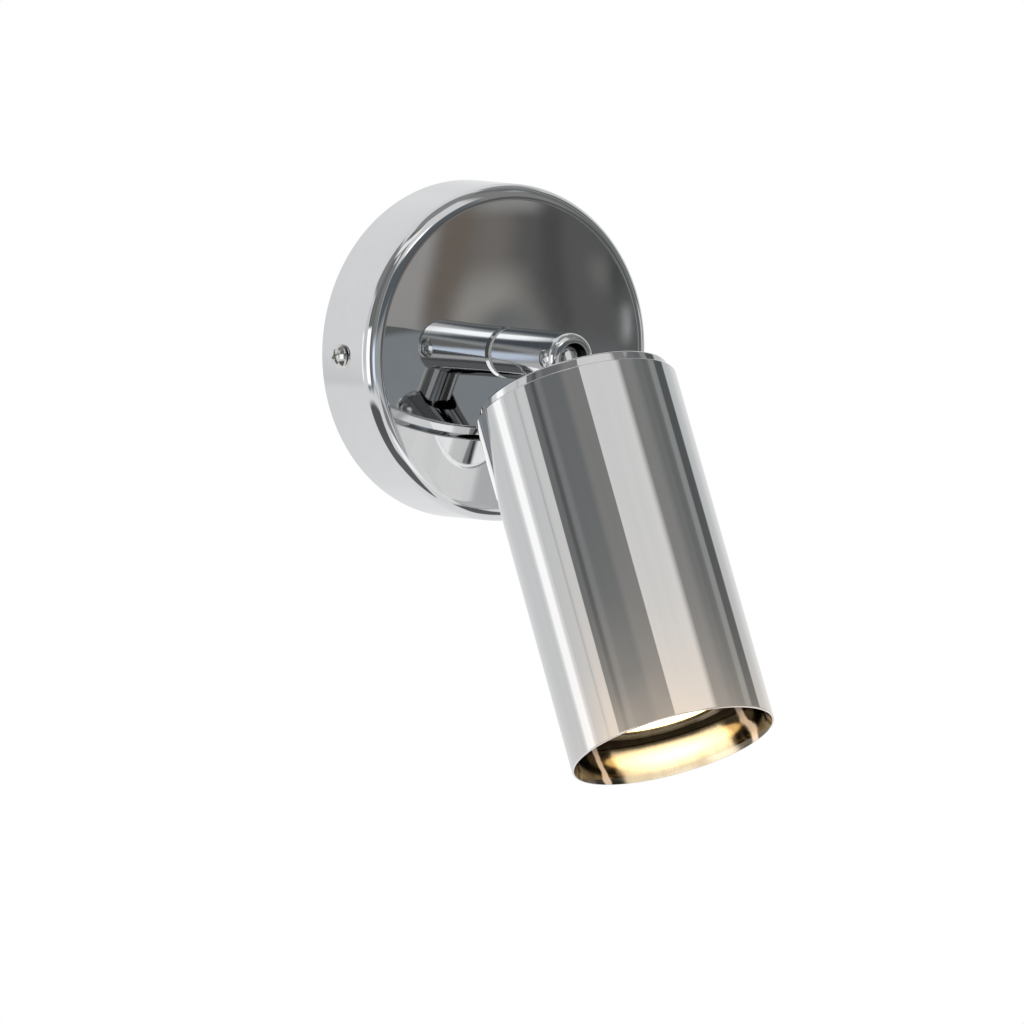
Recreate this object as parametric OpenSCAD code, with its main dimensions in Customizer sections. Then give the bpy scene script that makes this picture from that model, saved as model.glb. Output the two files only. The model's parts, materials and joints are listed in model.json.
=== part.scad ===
// Chrome wall spotlight: a round canopy, a short arm that turns in it, and a
// tubular head that tilts on a cross pivot in the slotted end of the arm.
// The origin is the middle of the wall bracket on the wall, +Z is up, and the
// lamp stands out from the wall along -Y.

/* [Canopy] */
// Outer diameter of the round canopy at the wall
canopy_d = 100; // [92:1:120]
// Height of the canopy from the wall to its front rim
canopy_h = 25; // [24:0.5:32]
// Thickness of the canopy's pressed steel
canopy_wall = 1.2; // [0.8:0.1:1.6]
// Radius of the canopy's rounded front edge
canopy_round = 4.4; // [3:0.1:6]
// How much the side draws in from the wall to the front, on the radius
canopy_draft = 0.35; // [0:0.05:1]
// Depth of the shallow dish in the front face
dish_depth = 1.2; // [0.4:0.1:2]
// Diameter of the flat seat in the middle of the dish
seat_d = 21; // [20.5:0.5:30]
// Distance of the side screws from the wall
side_screw_h = 10; // [9:0.5:12]

/* [Wall bracket] */
// Thickness of the bracket's sheet steel
bracket_t = 1.5; // [1:0.1:2]
// Width of the bracket's bar
bar_w = 18; // [16:1:24]
// Distance between the two wall slots
slot_spacing = 62; // [56:1:66]
// Length of a wall slot, end to end
slot_len = 10; // [8:0.5:12]
// Width of a wall slot
slot_w = 4.5; // [4:0.1:5.5]
// Diameter of the hole where the house cable comes in
cable_hole_d = 14; // [10:0.5:16]

/* [Arm] */
// Diameter of the arm
arm_d = 15; // [14.5:0.5:18]
// Length of the arm from the canopy's front rim to its end
arm_reach = 32.5; // [30:0.5:45]
// Radius of the arm's rounded end
arm_round = 2.6; // [1.5:0.1:2.8]
// Distance of the tilt pivot from the arm's end
pivot_setback = 5; // [4.8:0.1:6]
// Diameter of the bore that the leads run in
lead_bore_d = 6; // [5.4:0.1:6.4]
// Thread diameter of the hollow nipple behind the arm
nipple_d = 10; // [9.5:0.5:11]

/* [Head] */
// Tilt of the head away from hanging straight down, as photographed
tilt = 27; // [12:1:60]
// Outer diameter of the head's tube
tube_d = 60; // [57:1:64]
// Length of the tube
tube_len = 108.5; // [100:0.5:130]
// Wall thickness of the tube
tube_wall = 1.2; // [1:0.1:2]
// Height that the cap stands above the tube
cap_rise = 3.2; // [2.8:0.1:4]
// How much smaller than the tube the cap is, on the radius
cap_step = 1.8; // [1:0.1:2.5]
// Distance from the tilt pivot to the top of the cap
cap_gap = 10.2; // [9.8:0.1:14]
// Diameter of the neck
neck_d = 8.5; // [8:0.1:9]
// Width of the neck over its two flats at the pivot
neck_flat_w = 7.5; // [7.1:0.1:7.7]

/* [Lamp] */
// Diameter of the lamp's front
lamp_d = 50; // [49:0.5:51]
// Length of the lamp over its pins
lamp_len = 54; // [52:0.5:57]
// Distance of the lamp's front from the mouth of the tube
lamp_recess = 11.5; // [8:0.5:16]
// Diameter of the lamp's bright lens, inside its bezel
lens_d = 40; // [30:0.5:46]
// Distance between the middles of the two lamp pins
pin_pitch = 10; // [9.8:0.1:10.2]
// Turn of the lamp from its entry holes to its locked place
lock_turn = 25; // [15:1:35]
// Number of cooling fins round the lamp
fin_count = 16; // [8:1:20]

/* [Hidden] */
$fn = 96;

// Clearances: a running fit, a thread or seat, and a gap to a neighbour
run_gap = 0.05;
seat_gap = 0.1;
free_gap = 0.3;

canopy_r = canopy_d / 2;
face_r = canopy_r - canopy_draft - canopy_round;
seat_front = canopy_h - dish_depth;
seat_back = seat_front - canopy_wall;
inner_r = canopy_r - canopy_wall;

// Side screws and other screws, by thread
m4 = 4;
m3 = 3;
side_head_d = 7;
side_head_h = 2.2;
side_screw_len = 9;
m4_recess = 1.1;
m3_head_d = 5.4;
m3_head_h = 1.6;
m3_recess = 0.8;
hole_slack = 0.6;

// Bracket ears: their outer faces stay clear inside the canopy's wall
ear_w = 14;
ear_x = sqrt(pow(inner_r - canopy_draft, 2) - pow(ear_w / 2, 2)) - free_gap;
ear_h = side_screw_h + 5;
ear_bend = 2;
collar_d = 6.4;
collar_h = 1.4;
tab_w = 22;
tab_top = 36;
earth_tab_w = 16;
earth_tab_end = 27;
earth_y = 20;

// Terminal block: two poles side by side on the upper tab
pole_pitch = 11;
pole_w = 6.2;
block_w = pole_pitch + pole_w;
block_len = 16;
block_y = 16;
block_head_d = pole_pitch - pole_w - 0.6;
block_base_h = 5.5;
block_h = 12.5;
pole_u = bracket_t + 5.4;
brass_d = 4.4;
brass_bore = 2.8;
brass_len = 13;
brass_y = block_y + (block_len - brass_len) / 2;
lead_mouth_y = brass_y + 1.5;
clamp_d = 2.6;
clamp_pitch = 8;
chimney_d = 5.6;
chimney_bore = 3.9;

// Arm fixing: washers and nut stacked on the nipple behind the canopy
front_washer_t = 0.5;
arm_start = seat_front + front_washer_t;
arm_end = canopy_h + arm_reach;
arm_r = arm_d / 2;
pivot_u = arm_end - pivot_setback;
friction_t = 0.8;
stop_t = 1;
spring_t = 0.6;
spring_h = 1.2;
nut_t = 3;
nut_af = 14;
friction_back = seat_back - friction_t;
stop_back = friction_back - stop_t;
spring_back = stop_back - spring_h;
nut_back = spring_back - nut_t;
nipple_back = nut_back - 1.6;
nipple_in_arm = 8;
nipple_flat = nipple_d * 0.88;
stop_r = 14;
stop_pin_d = 3;
stop_tab_w = 5;

// Tilt joint: ball end of the neck in the arm's bore, which is open below
neck_r = neck_d / 2;
socket_r = neck_r + 0.35;
flat_len = 3.9;
washer_room = socket_r - neck_flat_w / 2;
pivot_washer_d = 7;
pivot_thread = m3;
dog_d = 2.4;
pivot_head_d = 4.7;
pivot_head_h = 1.1;
pivot_seat_depth = 0.8;
wire_slot_w = 1.8;
wire_slot_r = 2.3;
spigot_d = 7;
spigot_bore = 4.6;

// Leads: three in a row, d_lead across, and where they stop short of the pivot
lead_d = 1.3;
lead_pitch = 1.4;
lead_sides = 8;
lead_steps = 12;
lead_stop = 2;
lead_grip = 2;
lead_out = 6.5;
lead_in = 7;
head_earth_in = 8;
tag_t = 0.8;
tag_barrel = 3;
tag_axis = lead_d / 2 + 0.5;
m4_tag_d = 8;
m3_tag_d = 6;
sleeve_wall = 0.3;
sleeve_bore = 2 * lead_pitch + lead_d + 0.2;
sleeve_d = sleeve_bore + 2 * sleeve_wall;

// Head, measured down the tube from the tilt pivot
tube_r = tube_d / 2;
bore_r = tube_r - tube_wall;
cap_r = tube_r - cap_step;
rim_s = cap_gap + cap_rise;
mouth_s = rim_s + tube_len;
cap_plate = 2.5;
skirt_len = 8.5;
skirt_t = 1.8;
frame_t = 1;
frame_top_s = cap_gap + cap_plate;
lock_washer_t = 0.8;
neck_nut_t = 3.2;
neck_nut_af = 11;
neck_nut_s = frame_top_s + frame_t + lock_washer_t;
spigot_end = neck_nut_s + neck_nut_t + 1;

// Lamp and lampholder
pin_len = 7.2;
pin_stem_d = 3;
pin_head_d = 4.8;
pin_head_h = 4;
lamp_front_s = mouth_s - lamp_recess;
lamp_base_s = lamp_front_s - (lamp_len - pin_len);
holder_h = 17.5;
holder_l = 32;
holder_w = 16;
holder_top_s = lamp_base_s - seat_gap - holder_h;
holder_screw_x = 12;
holder_head_h = 1.8;
holder_grip = 7;
key_top_t = 3;
key_depth = 9;
lamp_base_r = 15;
lens_t = 1.6;
board_t = 1.6;
cup_depth = 7;
bezel_dip = 0.5;
frame_x = 19;
frame_w = 14;
frame_foot = 11;
earth_screw_x = 12;

// Points on an arc round [cx, cy], from angle a0 to a1
function arc(cx, cy, r, a0, a1, n = 8) =
    [for (i = [0 : n]) [cx + r * cos(a0 + (a1 - a0) * i / n),
                        cy + r * sin(a0 + (a1 - a0) * i / n)]];

// Height of the canopy's front face at radius r, a shallow dish round a flat seat
function face_h(r) =
    canopy_h - dish_depth * (1 - pow((r - seat_d / 2) / (face_r - seat_d / 2), 2));

// Points of the dish from its rim in to the seat
function dish(n = 12) =
    [for (i = [0 : n]) let (r = face_r - (face_r - seat_d / 2) * i / n) [r, face_h(r)]];

// Point at t on the cubic curve that four control points p describe
function bezier(p, t) =
    pow(1 - t, 3) * p[0] + 3 * t * pow(1 - t, 2) * p[1]
    + 3 * t * t * (1 - t) * p[2] + pow(t, 3) * p[3];

function bezier_path(p, n = lead_steps) = [for (i = [0 : n]) bezier(p, i / n)];

function unit(v) = v / norm(v);

// Ring of points round c, square to the direction t
function ring(c, t, side, r) =
    let (u = unit(cross(t, side)), w = cross(unit(t), u))
    [for (i = [0 : lead_sides - 1])
        c + r * (cos(360 * i / lead_sides) * u + sin(360 * i / lead_sides) * w)];

// Places its child with +Z out of the wall and +Y up, a distance u from the wall
module from_wall(u) {
    translate([0, -u, 0]) rotate([90, 0, 0]) children();
}

// Places its child with +Z down the tube and +Y to the front, s from the pivot
module hanging(s) {
    translate([0, -pivot_u, 0]) rotate([-tilt, 0, 0]) rotate([180, 0, 0])
        translate([0, 0, s]) children();
}

// Flat ring
module washer(outer_d, inner_d, t) {
    difference() {
        cylinder(d = outer_d, h = t);
        translate([0, 0, -1]) cylinder(d = inner_d, h = t + 2);
    }
}

// Hexagon nut with its corners chamfered on both faces
module hex_nut(af, bore, t) {
    corner = af / sqrt(3);
    difference() {
        intersection() {
            cylinder(r = corner, h = t, $fn = 6);
            rotate_extrude() polygon([[0, 0], [af / 2, 0], [corner, t * 0.2],
                [corner, t * 0.8], [af / 2, t], [0, t]]);
        }
        translate([0, 0, -1]) cylinder(d = bore, h = t + 2);
    }
}

// Domed screw head with a cross recess, standing on z = 0, its shank below
module pan_screw(head_d, head_h, shank_d, shank_len, recess_w) {
    edge = head_h * 0.35;
    rise = head_h - edge;
    dome = (pow(head_d / 2, 2) + rise * rise) / (2 * rise);
    sweep = asin(head_d / 2 / dome);
    difference() {
        union() {
            rotate_extrude() polygon(concat([[0, 0], [head_d / 2, 0]],
                arc(0, head_h - dome, dome, 90 - sweep, 90, 8)));
            translate([0, 0, -shank_len]) cylinder(d = shank_d, h = shank_len + 0.01);
        }
        for (turn = [0, 90]) rotate([0, 0, turn])
            translate([-head_d * 0.28, -recess_w / 2, head_h * 0.4])
                cube([head_d * 0.56, recess_w, head_h]);
    }
}

// One lead: a tube of lead_sides sides along the points of path
module lead(path, side = [1, 0, 0]) {
    m = len(path);
    n = lead_sides;
    points = [for (i = [0 : m - 1])
        each ring(path[i], path[min(i + 1, m - 1)] - path[max(i - 1, 0)], side, lead_d / 2)];
    walls = [for (i = [0 : m - 2], j = [0 : n - 1])
        each [[i * n + j, (i + 1) * n + j, i * n + (j + 1) % n],
              [i * n + (j + 1) % n, (i + 1) * n + j, (i + 1) * n + (j + 1) % n]]];
    polyhedron(points, concat(walls,
        [[for (j = [0 : n - 1]) j]],
        [[for (j = [n - 1 : -1 : 0]) (m - 1) * n + j]]));
}

// Canopy: a pressed cup with a dished face, a hole for the nipple and two side holes
module canopy() {
    color("silver") difference() {
        from_wall(0) rotate_extrude() polygon(concat(
            [[canopy_r, 0]],
            arc(face_r, canopy_h - canopy_round, canopy_round, 0, 90),
            dish(),
            [[nipple_d / 2 + seat_gap, seat_front], [nipple_d / 2 + seat_gap, seat_back]],
            [for (p = [for (i = [12 : -1 : 0]) dish()[i]]) [p[0], p[1] - canopy_wall]],
            arc(face_r, canopy_h - canopy_round, canopy_round - canopy_wall, 90, 0),
            [[inner_r, 0]]));
        translate([0, -side_screw_h, 0]) rotate([0, 90, 0])
            cylinder(d = m4 + hole_slack, h = canopy_d + 2, center = true);
    }
}

// Outline of the bracket's bar and tabs, flat on the wall
module bracket_outline() {
    difference() {
        union() {
            square([2 * (ear_x - ear_bend), bar_w], center = true);
            translate([-tab_w / 2, 0]) square([tab_w, tab_top]);
            translate([-earth_tab_w / 2, -earth_tab_end]) square([earth_tab_w, earth_tab_end]);
        }
        circle(d = cable_hole_d);
        for (side = [-1, 1]) translate([side * slot_spacing / 2, 0]) {
            square([slot_len - slot_w, slot_w], center = true);
            for (end = [-1, 1]) translate([end * (slot_len - slot_w) / 2, 0]) circle(d = slot_w);
        }
        translate([0, block_y + block_len / 2]) circle(d = m3 + 2 * run_gap);
        translate([0, -earth_y]) circle(d = m4 + 2 * run_gap);
    }
}

// One ear: bent up off the bar with a round bend, and drilled for its side screw
module bracket_ear() {
    inside = ear_bend - bracket_t;
    difference() {
        union() {
            rotate([90, 0, 0]) translate([0, 0, -ear_w / 2]) linear_extrude(ear_w)
                polygon(concat(
                    [[ear_x - ear_bend - 0.01, 0]],
                    arc(ear_x - ear_bend, ear_bend, ear_bend, -90, 0),
                    [[ear_x, ear_h], [ear_x - bracket_t, ear_h]],
                    arc(ear_x - ear_bend, ear_bend, inside, 0, -90),
                    [[ear_x - ear_bend - 0.01, bracket_t]]));
            translate([ear_x - bracket_t - collar_h, 0, side_screw_h]) rotate([0, 90, 0])
                cylinder(d = collar_d, h = collar_h + 0.01);
        }
        translate([ear_x - bracket_t - collar_h - 1, 0, side_screw_h]) rotate([0, 90, 0])
            cylinder(d = m4 + 2 * run_gap, h = bracket_t + collar_h + 2);
    }
}

// Wall bracket: a cross-shaped steel pressing with two bent ears
module wall_bracket() {
    color("gainsboro") from_wall(0) {
        linear_extrude(bracket_t) bracket_outline();
        bracket_ear();
        mirror([1, 0, 0]) bracket_ear();
    }
}

// Side screws: through the canopy's side into the threaded ears
module side_screws() {
    color("silver") for (turn = [0, 180]) rotate([0, turn, 0])
        translate([canopy_r, -side_screw_h, 0]) rotate([0, 90, 0])
            pan_screw(side_head_d, side_head_h, m4, side_screw_len, m4_recess);
}

// Terminal block: two poles with screw chimneys on a common base
module terminal_block() {
    color("whitesmoke") from_wall(bracket_t) translate([0, block_y, 0]) difference() {
        union() {
            translate([-block_w / 2, 0, 0]) cube([block_w, block_len, block_base_h]);
            for (side = [-1, 1]) translate([side * pole_pitch / 2, 0, 0]) {
                translate([-pole_w / 2, 0, 0]) cube([pole_w, block_len, block_base_h + 3]);
                for (end = [-1, 1]) translate([0, block_len / 2 + end * clamp_pitch / 2, 0])
                    cylinder(d = chimney_d, h = block_h);
            }
        }
        for (side = [-1, 1]) translate([side * pole_pitch / 2, 0, 0]) {
            translate([0, -1, pole_u - bracket_t]) rotate([-90, 0, 0])
                cylinder(d = brass_d + 2 * run_gap, h = block_len + 2);
            for (end = [-1, 1])
                translate([0, block_len / 2 + end * clamp_pitch / 2, pole_u - bracket_t])
                    cylinder(d = chimney_bore, h = block_h);
        }
        translate([0, block_len / 2, -1]) cylinder(d = m3 + 0.4, h = block_base_h + 2);
    }
}

// Brass tube of each pole, cross-drilled for its two clamp screws
module terminal_tubes() {
    color("gold") for (side = [-1, 1])
        from_wall(pole_u)
            translate([side * pole_pitch / 2, brass_y, 0])
                difference() {
                    rotate([-90, 0, 0]) cylinder(d = brass_d, h = brass_len);
                    translate([0, -1, 0]) rotate([-90, 0, 0])
                        cylinder(d = brass_bore, h = brass_len + 2);
                    for (end = [-1, 1])
                        translate([0, brass_len / 2 + end * clamp_pitch / 2, 0])
                            cylinder(d = clamp_d + 2 * run_gap, h = brass_d);
                }
}

// Clamp screws of the terminal block, four alike
module terminal_screws() {
    color("gold") for (side = [-1, 1], end = [-1, 1])
        from_wall(pole_u)
            translate([side * pole_pitch / 2,
                    block_y + block_len / 2 + end * clamp_pitch / 2, lead_d / 2 + seat_gap])
                difference() {
                    union() {
                        cylinder(d = clamp_d, h = 3);
                        translate([0, 0, 2.2]) cylinder(d = chimney_bore - 0.4, h = 2.4);
                    }
                    translate([-chimney_bore / 2, -0.35, 3.6])
                        cube([chimney_bore, 0.7, 2]);
                }
}

// Screw that holds the terminal block on the bracket
module block_screw() {
    color("silver") from_wall(bracket_t + block_base_h)
        translate([0, block_y + block_len / 2, 0])
            pan_screw(block_head_d, 1.6, m3, block_base_h + bracket_t - seat_gap, 0.7);
}

// Earth screw and, under it, the ring tag of the earth lead
module earth_screw() {
    color("gold") from_wall(bracket_t + tag_t) translate([0, -earth_y, 0])
        pan_screw(side_head_d, side_head_h, m4, bracket_t + tag_t - seat_gap, m4_recess);
}

// Distance of the mouth of a tag's barrel from the middle of its ring
function tag_mouth(ring_d) = ring_d / 2 + tag_barrel;

// Ring tag with the barrel that grips its lead, lying flat on z = 0
module ring_tag(hole_d, ring_d) {
    difference() {
        union() {
            cylinder(d = ring_d, h = tag_t);
            translate([-1.6, 0, 0]) cube([3.2, tag_mouth(ring_d), tag_t]);
            translate([0, ring_d / 2, tag_axis]) rotate([-90, 0, 0])
                cylinder(d = lead_d + 1, h = tag_barrel);
        }
        translate([0, 0, -1]) cylinder(d = hole_d, h = 3);
        translate([0, tag_mouth(ring_d) - lead_grip - 0.3, tag_axis]) rotate([-90, 0, 0])
            cylinder(d = lead_d + 0.2, h = tag_barrel);
    }
}

module earth_tag() {
    color("silver") from_wall(bracket_t) translate([0, -earth_y, 0])
        ring_tag(m4 + 0.2, m4_tag_d);
}

// Route of a lead in the canopy: out of the nipple's back end, round to the mouth of
// its clamp and straight in
function canopy_route(row, mouth, dir) =
    let (start = [0, row * lead_pitch, nipple_back - seat_gap])
    concat(bezier_path([start, start - [0, 0, lead_out], mouth - dir * lead_in, mouth]),
        [mouth + dir * lead_grip]);

module live_lead() {
    color("sienna") from_wall(0)
        lead(canopy_route(1, [-pole_pitch / 2, lead_mouth_y, pole_u], [0, 1, 0]));
}

module neutral_lead() {
    color("royalblue") from_wall(0)
        lead(canopy_route(0, [pole_pitch / 2, lead_mouth_y, pole_u], [0, 1, 0]));
}

module earth_lead() {
    color("yellowgreen") from_wall(0)
        lead(canopy_route(-1, [0, tag_mouth(m4_tag_d) - earth_y, bracket_t + tag_axis], [0, -1, 0]));
}

// Stop stud: welded inside the canopy, above the nipple
module stop_stud() {
    foot = face_h(max(stop_r - stop_pin_d / 2, seat_d / 2)) - canopy_wall;
    color("gainsboro") from_wall(stop_back) translate([0, stop_r, 0])
        cylinder(d = stop_pin_d, h = foot - stop_back);
}

// Socket in the arm's end: a round bore with a ball end, open below as wide as itself,
// with a flat seat for a washer on each side of the pivot
module socket() {
    ahead = pivot_setback + 1;
    translate([0, -pivot_u, 0]) {
        sphere(r = socket_r);
        rotate([90, 0, 0]) cylinder(r = socket_r, h = ahead);
        translate([0, 0, -arm_d]) cylinder(r = socket_r, h = arm_d);
        translate([-socket_r, -ahead, -arm_d]) cube([2 * socket_r, ahead, arm_d]);
        rotate([0, 90, 0])
            cylinder(d = pivot_washer_d + 0.5, h = 2 * socket_r, center = true);
    }
}

// Arm: a turned bar with a rounded end, bored and cross-drilled for the tilt joint
module arm() {
    length = arm_end - arm_start;
    color("silver") difference() {
        from_wall(arm_start) rotate_extrude() polygon(concat(
            [[0, 0], [arm_r - 0.3, 0], [arm_r, 0.3]],
            arc(arm_r - arm_round, length - arm_round, arm_round, 0, 90),
            [[0, length]]));
        from_wall(arm_start - 1) cylinder(d = lead_bore_d, h = pivot_u - arm_start + 1);
        from_wall(arm_start - 1) cylinder(d = nipple_d + 2 * run_gap, h = nipple_in_arm + 1);
        socket();
        translate([0, -pivot_u, 0]) rotate([0, 90, 0])
            cylinder(d = pivot_thread + 2 * run_gap, h = arm_d + 2, center = true);
        for (turn = [0, 180]) rotate([0, turn, 0])
            translate([arm_r - pivot_seat_depth, -pivot_u, 0]) rotate([0, 90, 0])
                cylinder(d = pivot_head_d + 0.4, h = 2);
    }
}

// Hollow nipple: round in the arm, with two flats where the stop washer sits
module arm_nipple() {
    color("gainsboro") difference() {
        union() {
            from_wall(seat_back) cylinder(d = nipple_d, h = arm_start + nipple_in_arm - seat_back);
            intersection() {
                from_wall(nipple_back) cylinder(d = nipple_d, h = seat_back - nipple_back + 0.01);
                translate([-nipple_flat / 2, -canopy_h, -nipple_d])
                    cube([nipple_flat, canopy_h, 2 * nipple_d]);
            }
        }
        from_wall(0) cylinder(d = lead_bore_d, h = canopy_h + arm_reach);
    }
}

module front_washer() {
    color("dimgray") from_wall(seat_front)
        washer(arm_d - 0.8, nipple_d + 2 * seat_gap, front_washer_t);
}

module friction_washer() {
    color("ivory") from_wall(friction_back)
        washer(nipple_d * 2, nipple_d + 2 * seat_gap, friction_t);
}

// Stop washer: keyed to the nipple's flats, its tab meets the stop stud
module stop_washer() {
    color("gainsboro") from_wall(stop_back) difference() {
        union() {
            cylinder(d = nipple_d * 2 - 1, h = stop_t);
            translate([-stop_tab_w / 2, -stop_r - stop_pin_d / 2, 0])
                cube([stop_tab_w, stop_r, stop_t]);
        }
        intersection() {
            translate([0, 0, -1]) cylinder(d = nipple_d + 2 * seat_gap, h = stop_t + 2);
            translate([-nipple_flat / 2 - seat_gap, -nipple_d, -1])
                cube([nipple_flat + 2 * seat_gap, 2 * nipple_d, stop_t + 2]);
        }
    }
}

// Spring washer: a thin cone that keeps the friction washers pressed
module spring_washer() {
    inner = nipple_d / 2 + seat_gap;
    outer = nipple_d * 0.85;
    rise = spring_h - spring_t;
    color("silver") from_wall(spring_back) rotate_extrude()
        polygon([[inner, 0], [outer, rise], [outer, spring_h], [inner, spring_t]]);
}

module arm_nut() {
    color("gainsboro") from_wall(nut_back) hex_nut(nut_af, nipple_d + 2 * run_gap, nut_t);
}

// Glass-fibre sleeve round the three leads in the arm
module arm_sleeve() {
    color("linen") from_wall(nipple_back + 1)
        washer(sleeve_d, sleeve_bore, pivot_u - socket_r - nipple_back - 2);
}

// One straight lead in the arm, in its row of three
module arm_lead(row) {
    from_wall(nipple_back) translate([0, row * lead_pitch, 0])
        cylinder(d = lead_d, h = pivot_u - lead_stop - nipple_back);
}

module arm_live_lead() {
    color("sienna") arm_lead(1);
}

module arm_neutral_lead() {
    color("royalblue") arm_lead(0);
}

module arm_earth_lead() {
    color("yellowgreen") arm_lead(-1);
}

// Pivot screws: one in each side of the arm, with a plain point in the neck's side
module pivot_screws() {
    seat = arm_r - pivot_seat_depth;
    color("silver") for (turn = [0, 180]) translate([0, -pivot_u, 0]) rotate([0, turn, 0])
        translate([seat, 0, 0]) rotate([0, 90, 0]) {
            pan_screw(pivot_head_d, pivot_head_h, pivot_thread, seat - socket_r, 0.7);
            translate([0, 0, wire_slot_w / 2 + seat_gap - seat])
                cylinder(d = dog_d, h = seat - wire_slot_w / 2 - seat_gap);
        }
}

// Friction washers between the neck's flats and the arm
module pivot_washers() {
    color("dimgray") for (turn = [0, 180]) translate([0, -pivot_u, 0]) rotate([0, turn, 0])
        translate([neck_flat_w / 2 + run_gap, 0, 0]) rotate([0, 90, 0])
            washer(pivot_washer_d, dog_d + 2 * seat_gap, washer_room - 2 * run_gap);
}

// Neck: a round bar with a ball end and two flats, slotted and bored for the leads
module neck() {
    color("silver") hanging(0) difference() {
        union() {
            sphere(r = neck_r);
            cylinder(r = neck_r, h = cap_gap);
            cylinder(d = spigot_d, h = spigot_end);
        }
        for (turn = [0, 180]) rotate([0, 0, turn])
            translate([neck_flat_w / 2, -neck_d, -neck_d]) cube([neck_d, 2 * neck_d, neck_d + flat_len]);
        translate([0, 0, cap_gap - 2]) cylinder(d = spigot_bore, h = spigot_end);
        translate([-wire_slot_w / 2, -wire_slot_r, -neck_d])
            cube([wire_slot_w, 2 * wire_slot_r, neck_d + cap_gap - 1]);
        translate([-wire_slot_w / 2, -neck_d, -neck_d])
            cube([wire_slot_w, neck_d, neck_d + wire_slot_r]);
        rotate([0, 90, 0]) cylinder(d = dog_d + 2 * run_gap, h = 2 * neck_d, center = true);
    }
}

// Cap: a turned plug whose skirt fits inside the tube
module cap() {
    edge = 0.6;
    skirt_r = bore_r - run_gap;
    hole_r = spigot_d / 2 + seat_gap;
    bottom = cap_rise + skirt_len;
    color("silver") hanging(cap_gap) difference() {
        rotate_extrude($fn = 180) polygon(concat(
            [[hole_r, 0]],
            arc(cap_r - edge, edge, edge, -90, 0, 4),
            [[cap_r, cap_rise], [skirt_r, cap_rise], [skirt_r, bottom],
             [skirt_r - skirt_t, bottom], [skirt_r - skirt_t, cap_plate], [hole_r, cap_plate]]));
        translate([earth_screw_x, 0, 1]) cylinder(d = m3 + 2 * run_gap, h = cap_plate);
    }
}

// Tube: the shade, with its edges broken by a small chamfer
module tube() {
    edge = 0.3;
    color("silver") hanging(rim_s) rotate_extrude($fn = 180)
        polygon([[bore_r, 0], [tube_r - edge, 0], [tube_r, edge],
            [tube_r, tube_len - edge], [tube_r - edge, tube_len], [bore_r, tube_len]]);
}

// Holder frame: a steel strap bent to a U, with feet turned in over the lampholder
module holder_frame() {
    foot_s = holder_top_s - frame_top_s;
    bend = 2;
    inside = bend - frame_t;
    color("gainsboro") hanging(frame_top_s) difference() {
        for (turn = [0, 180]) rotate([0, 0, turn])
            rotate([90, 0, 0]) translate([0, 0, -frame_w / 2]) linear_extrude(frame_w)
                polygon(concat(
                    [[0, 0]],
                    arc(frame_x - bend, bend, bend, -90, 0),
                    arc(frame_x - bend, foot_s - bend, bend, 0, 90),
                    [[frame_x - frame_foot, foot_s], [frame_x - frame_foot, foot_s - frame_t]],
                    arc(frame_x - bend, foot_s - bend, inside, 90, 0),
                    arc(frame_x - bend, bend, inside, 0, -90),
                    [[0, frame_t]]));
        translate([0, 0, -1]) cylinder(d = spigot_d + 2 * seat_gap, h = frame_t + 2);
        translate([earth_screw_x, 0, -1]) cylinder(d = m3 + 0.2, h = frame_t + 2);
        for (side = [-1, 1]) translate([side * holder_screw_x, 0, foot_s - frame_t - 1])
            cylinder(d = m3 + 0.4, h = frame_t + 2);
    }
}

// Toothed lock washer under the neck's nut
module lock_washer() {
    teeth = 12;
    color("gainsboro") hanging(frame_top_s + frame_t) difference() {
        washer(spigot_d + 5.5, spigot_d + 2 * seat_gap, lock_washer_t);
        for (i = [0 : teeth - 1]) rotate([0, 0, 360 * i / teeth])
            translate([spigot_d / 2 + 1.6, -0.35, -1]) cube([spigot_d, 0.7, 3]);
    }
}

module neck_nut() {
    color("gold") hanging(neck_nut_s) hex_nut(neck_nut_af, spigot_d + 2 * run_gap, neck_nut_t);
}

// Part of a ring round the middle, as wide as w, from angle a0 to a1, with round ends
module arc_slot(w, a0, a1) {
    r = pin_pitch / 2;
    reach = pin_pitch;
    mid = (a0 + a1) / 2;
    intersection() {
        difference() {
            circle(r = r + w / 2);
            circle(r = r - w / 2);
        }
        polygon([[0, 0], reach * [cos(a0), sin(a0)], reach * [cos(mid), sin(mid)],
            reach * [cos(a1), sin(a1)]]);
    }
    for (a = [a0, a1]) translate(r * [cos(a), sin(a)]) circle(d = w);
}

// Lampholder: an oblong ceramic body with two keyhole ways for the lamp's pins
module lampholder() {
    color("white") hanging(holder_top_s) difference() {
        linear_extrude(holder_h) {
            square([holder_l - holder_w, holder_w], center = true);
            for (end = [-1, 1]) translate([end * (holder_l - holder_w) / 2, 0])
                circle(d = holder_w);
        }
        for (turn = [0, 180]) rotate([0, 0, turn]) {
            translate([0, 0, holder_h - key_top_t - 0.01]) linear_extrude(key_top_t + 1)
                arc_slot(pin_stem_d + 0.5, 0, lock_turn);
            translate([pin_pitch / 2, 0, holder_h - key_top_t - 0.01])
                cylinder(d = pin_head_d + 0.6, h = key_top_t + 1);
            translate([0, 0, holder_h - key_depth]) linear_extrude(key_depth - key_top_t)
                arc_slot(pin_head_d + 0.6, 0, lock_turn);
            translate([holder_screw_x, 0, -1]) cylinder(d = m3 + 2 * run_gap, h = holder_grip + 2);
            translate([pin_pitch / 2, 0, -1]) cylinder(d = lead_d + 0.6, h = 7);
        }
    }
}

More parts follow.
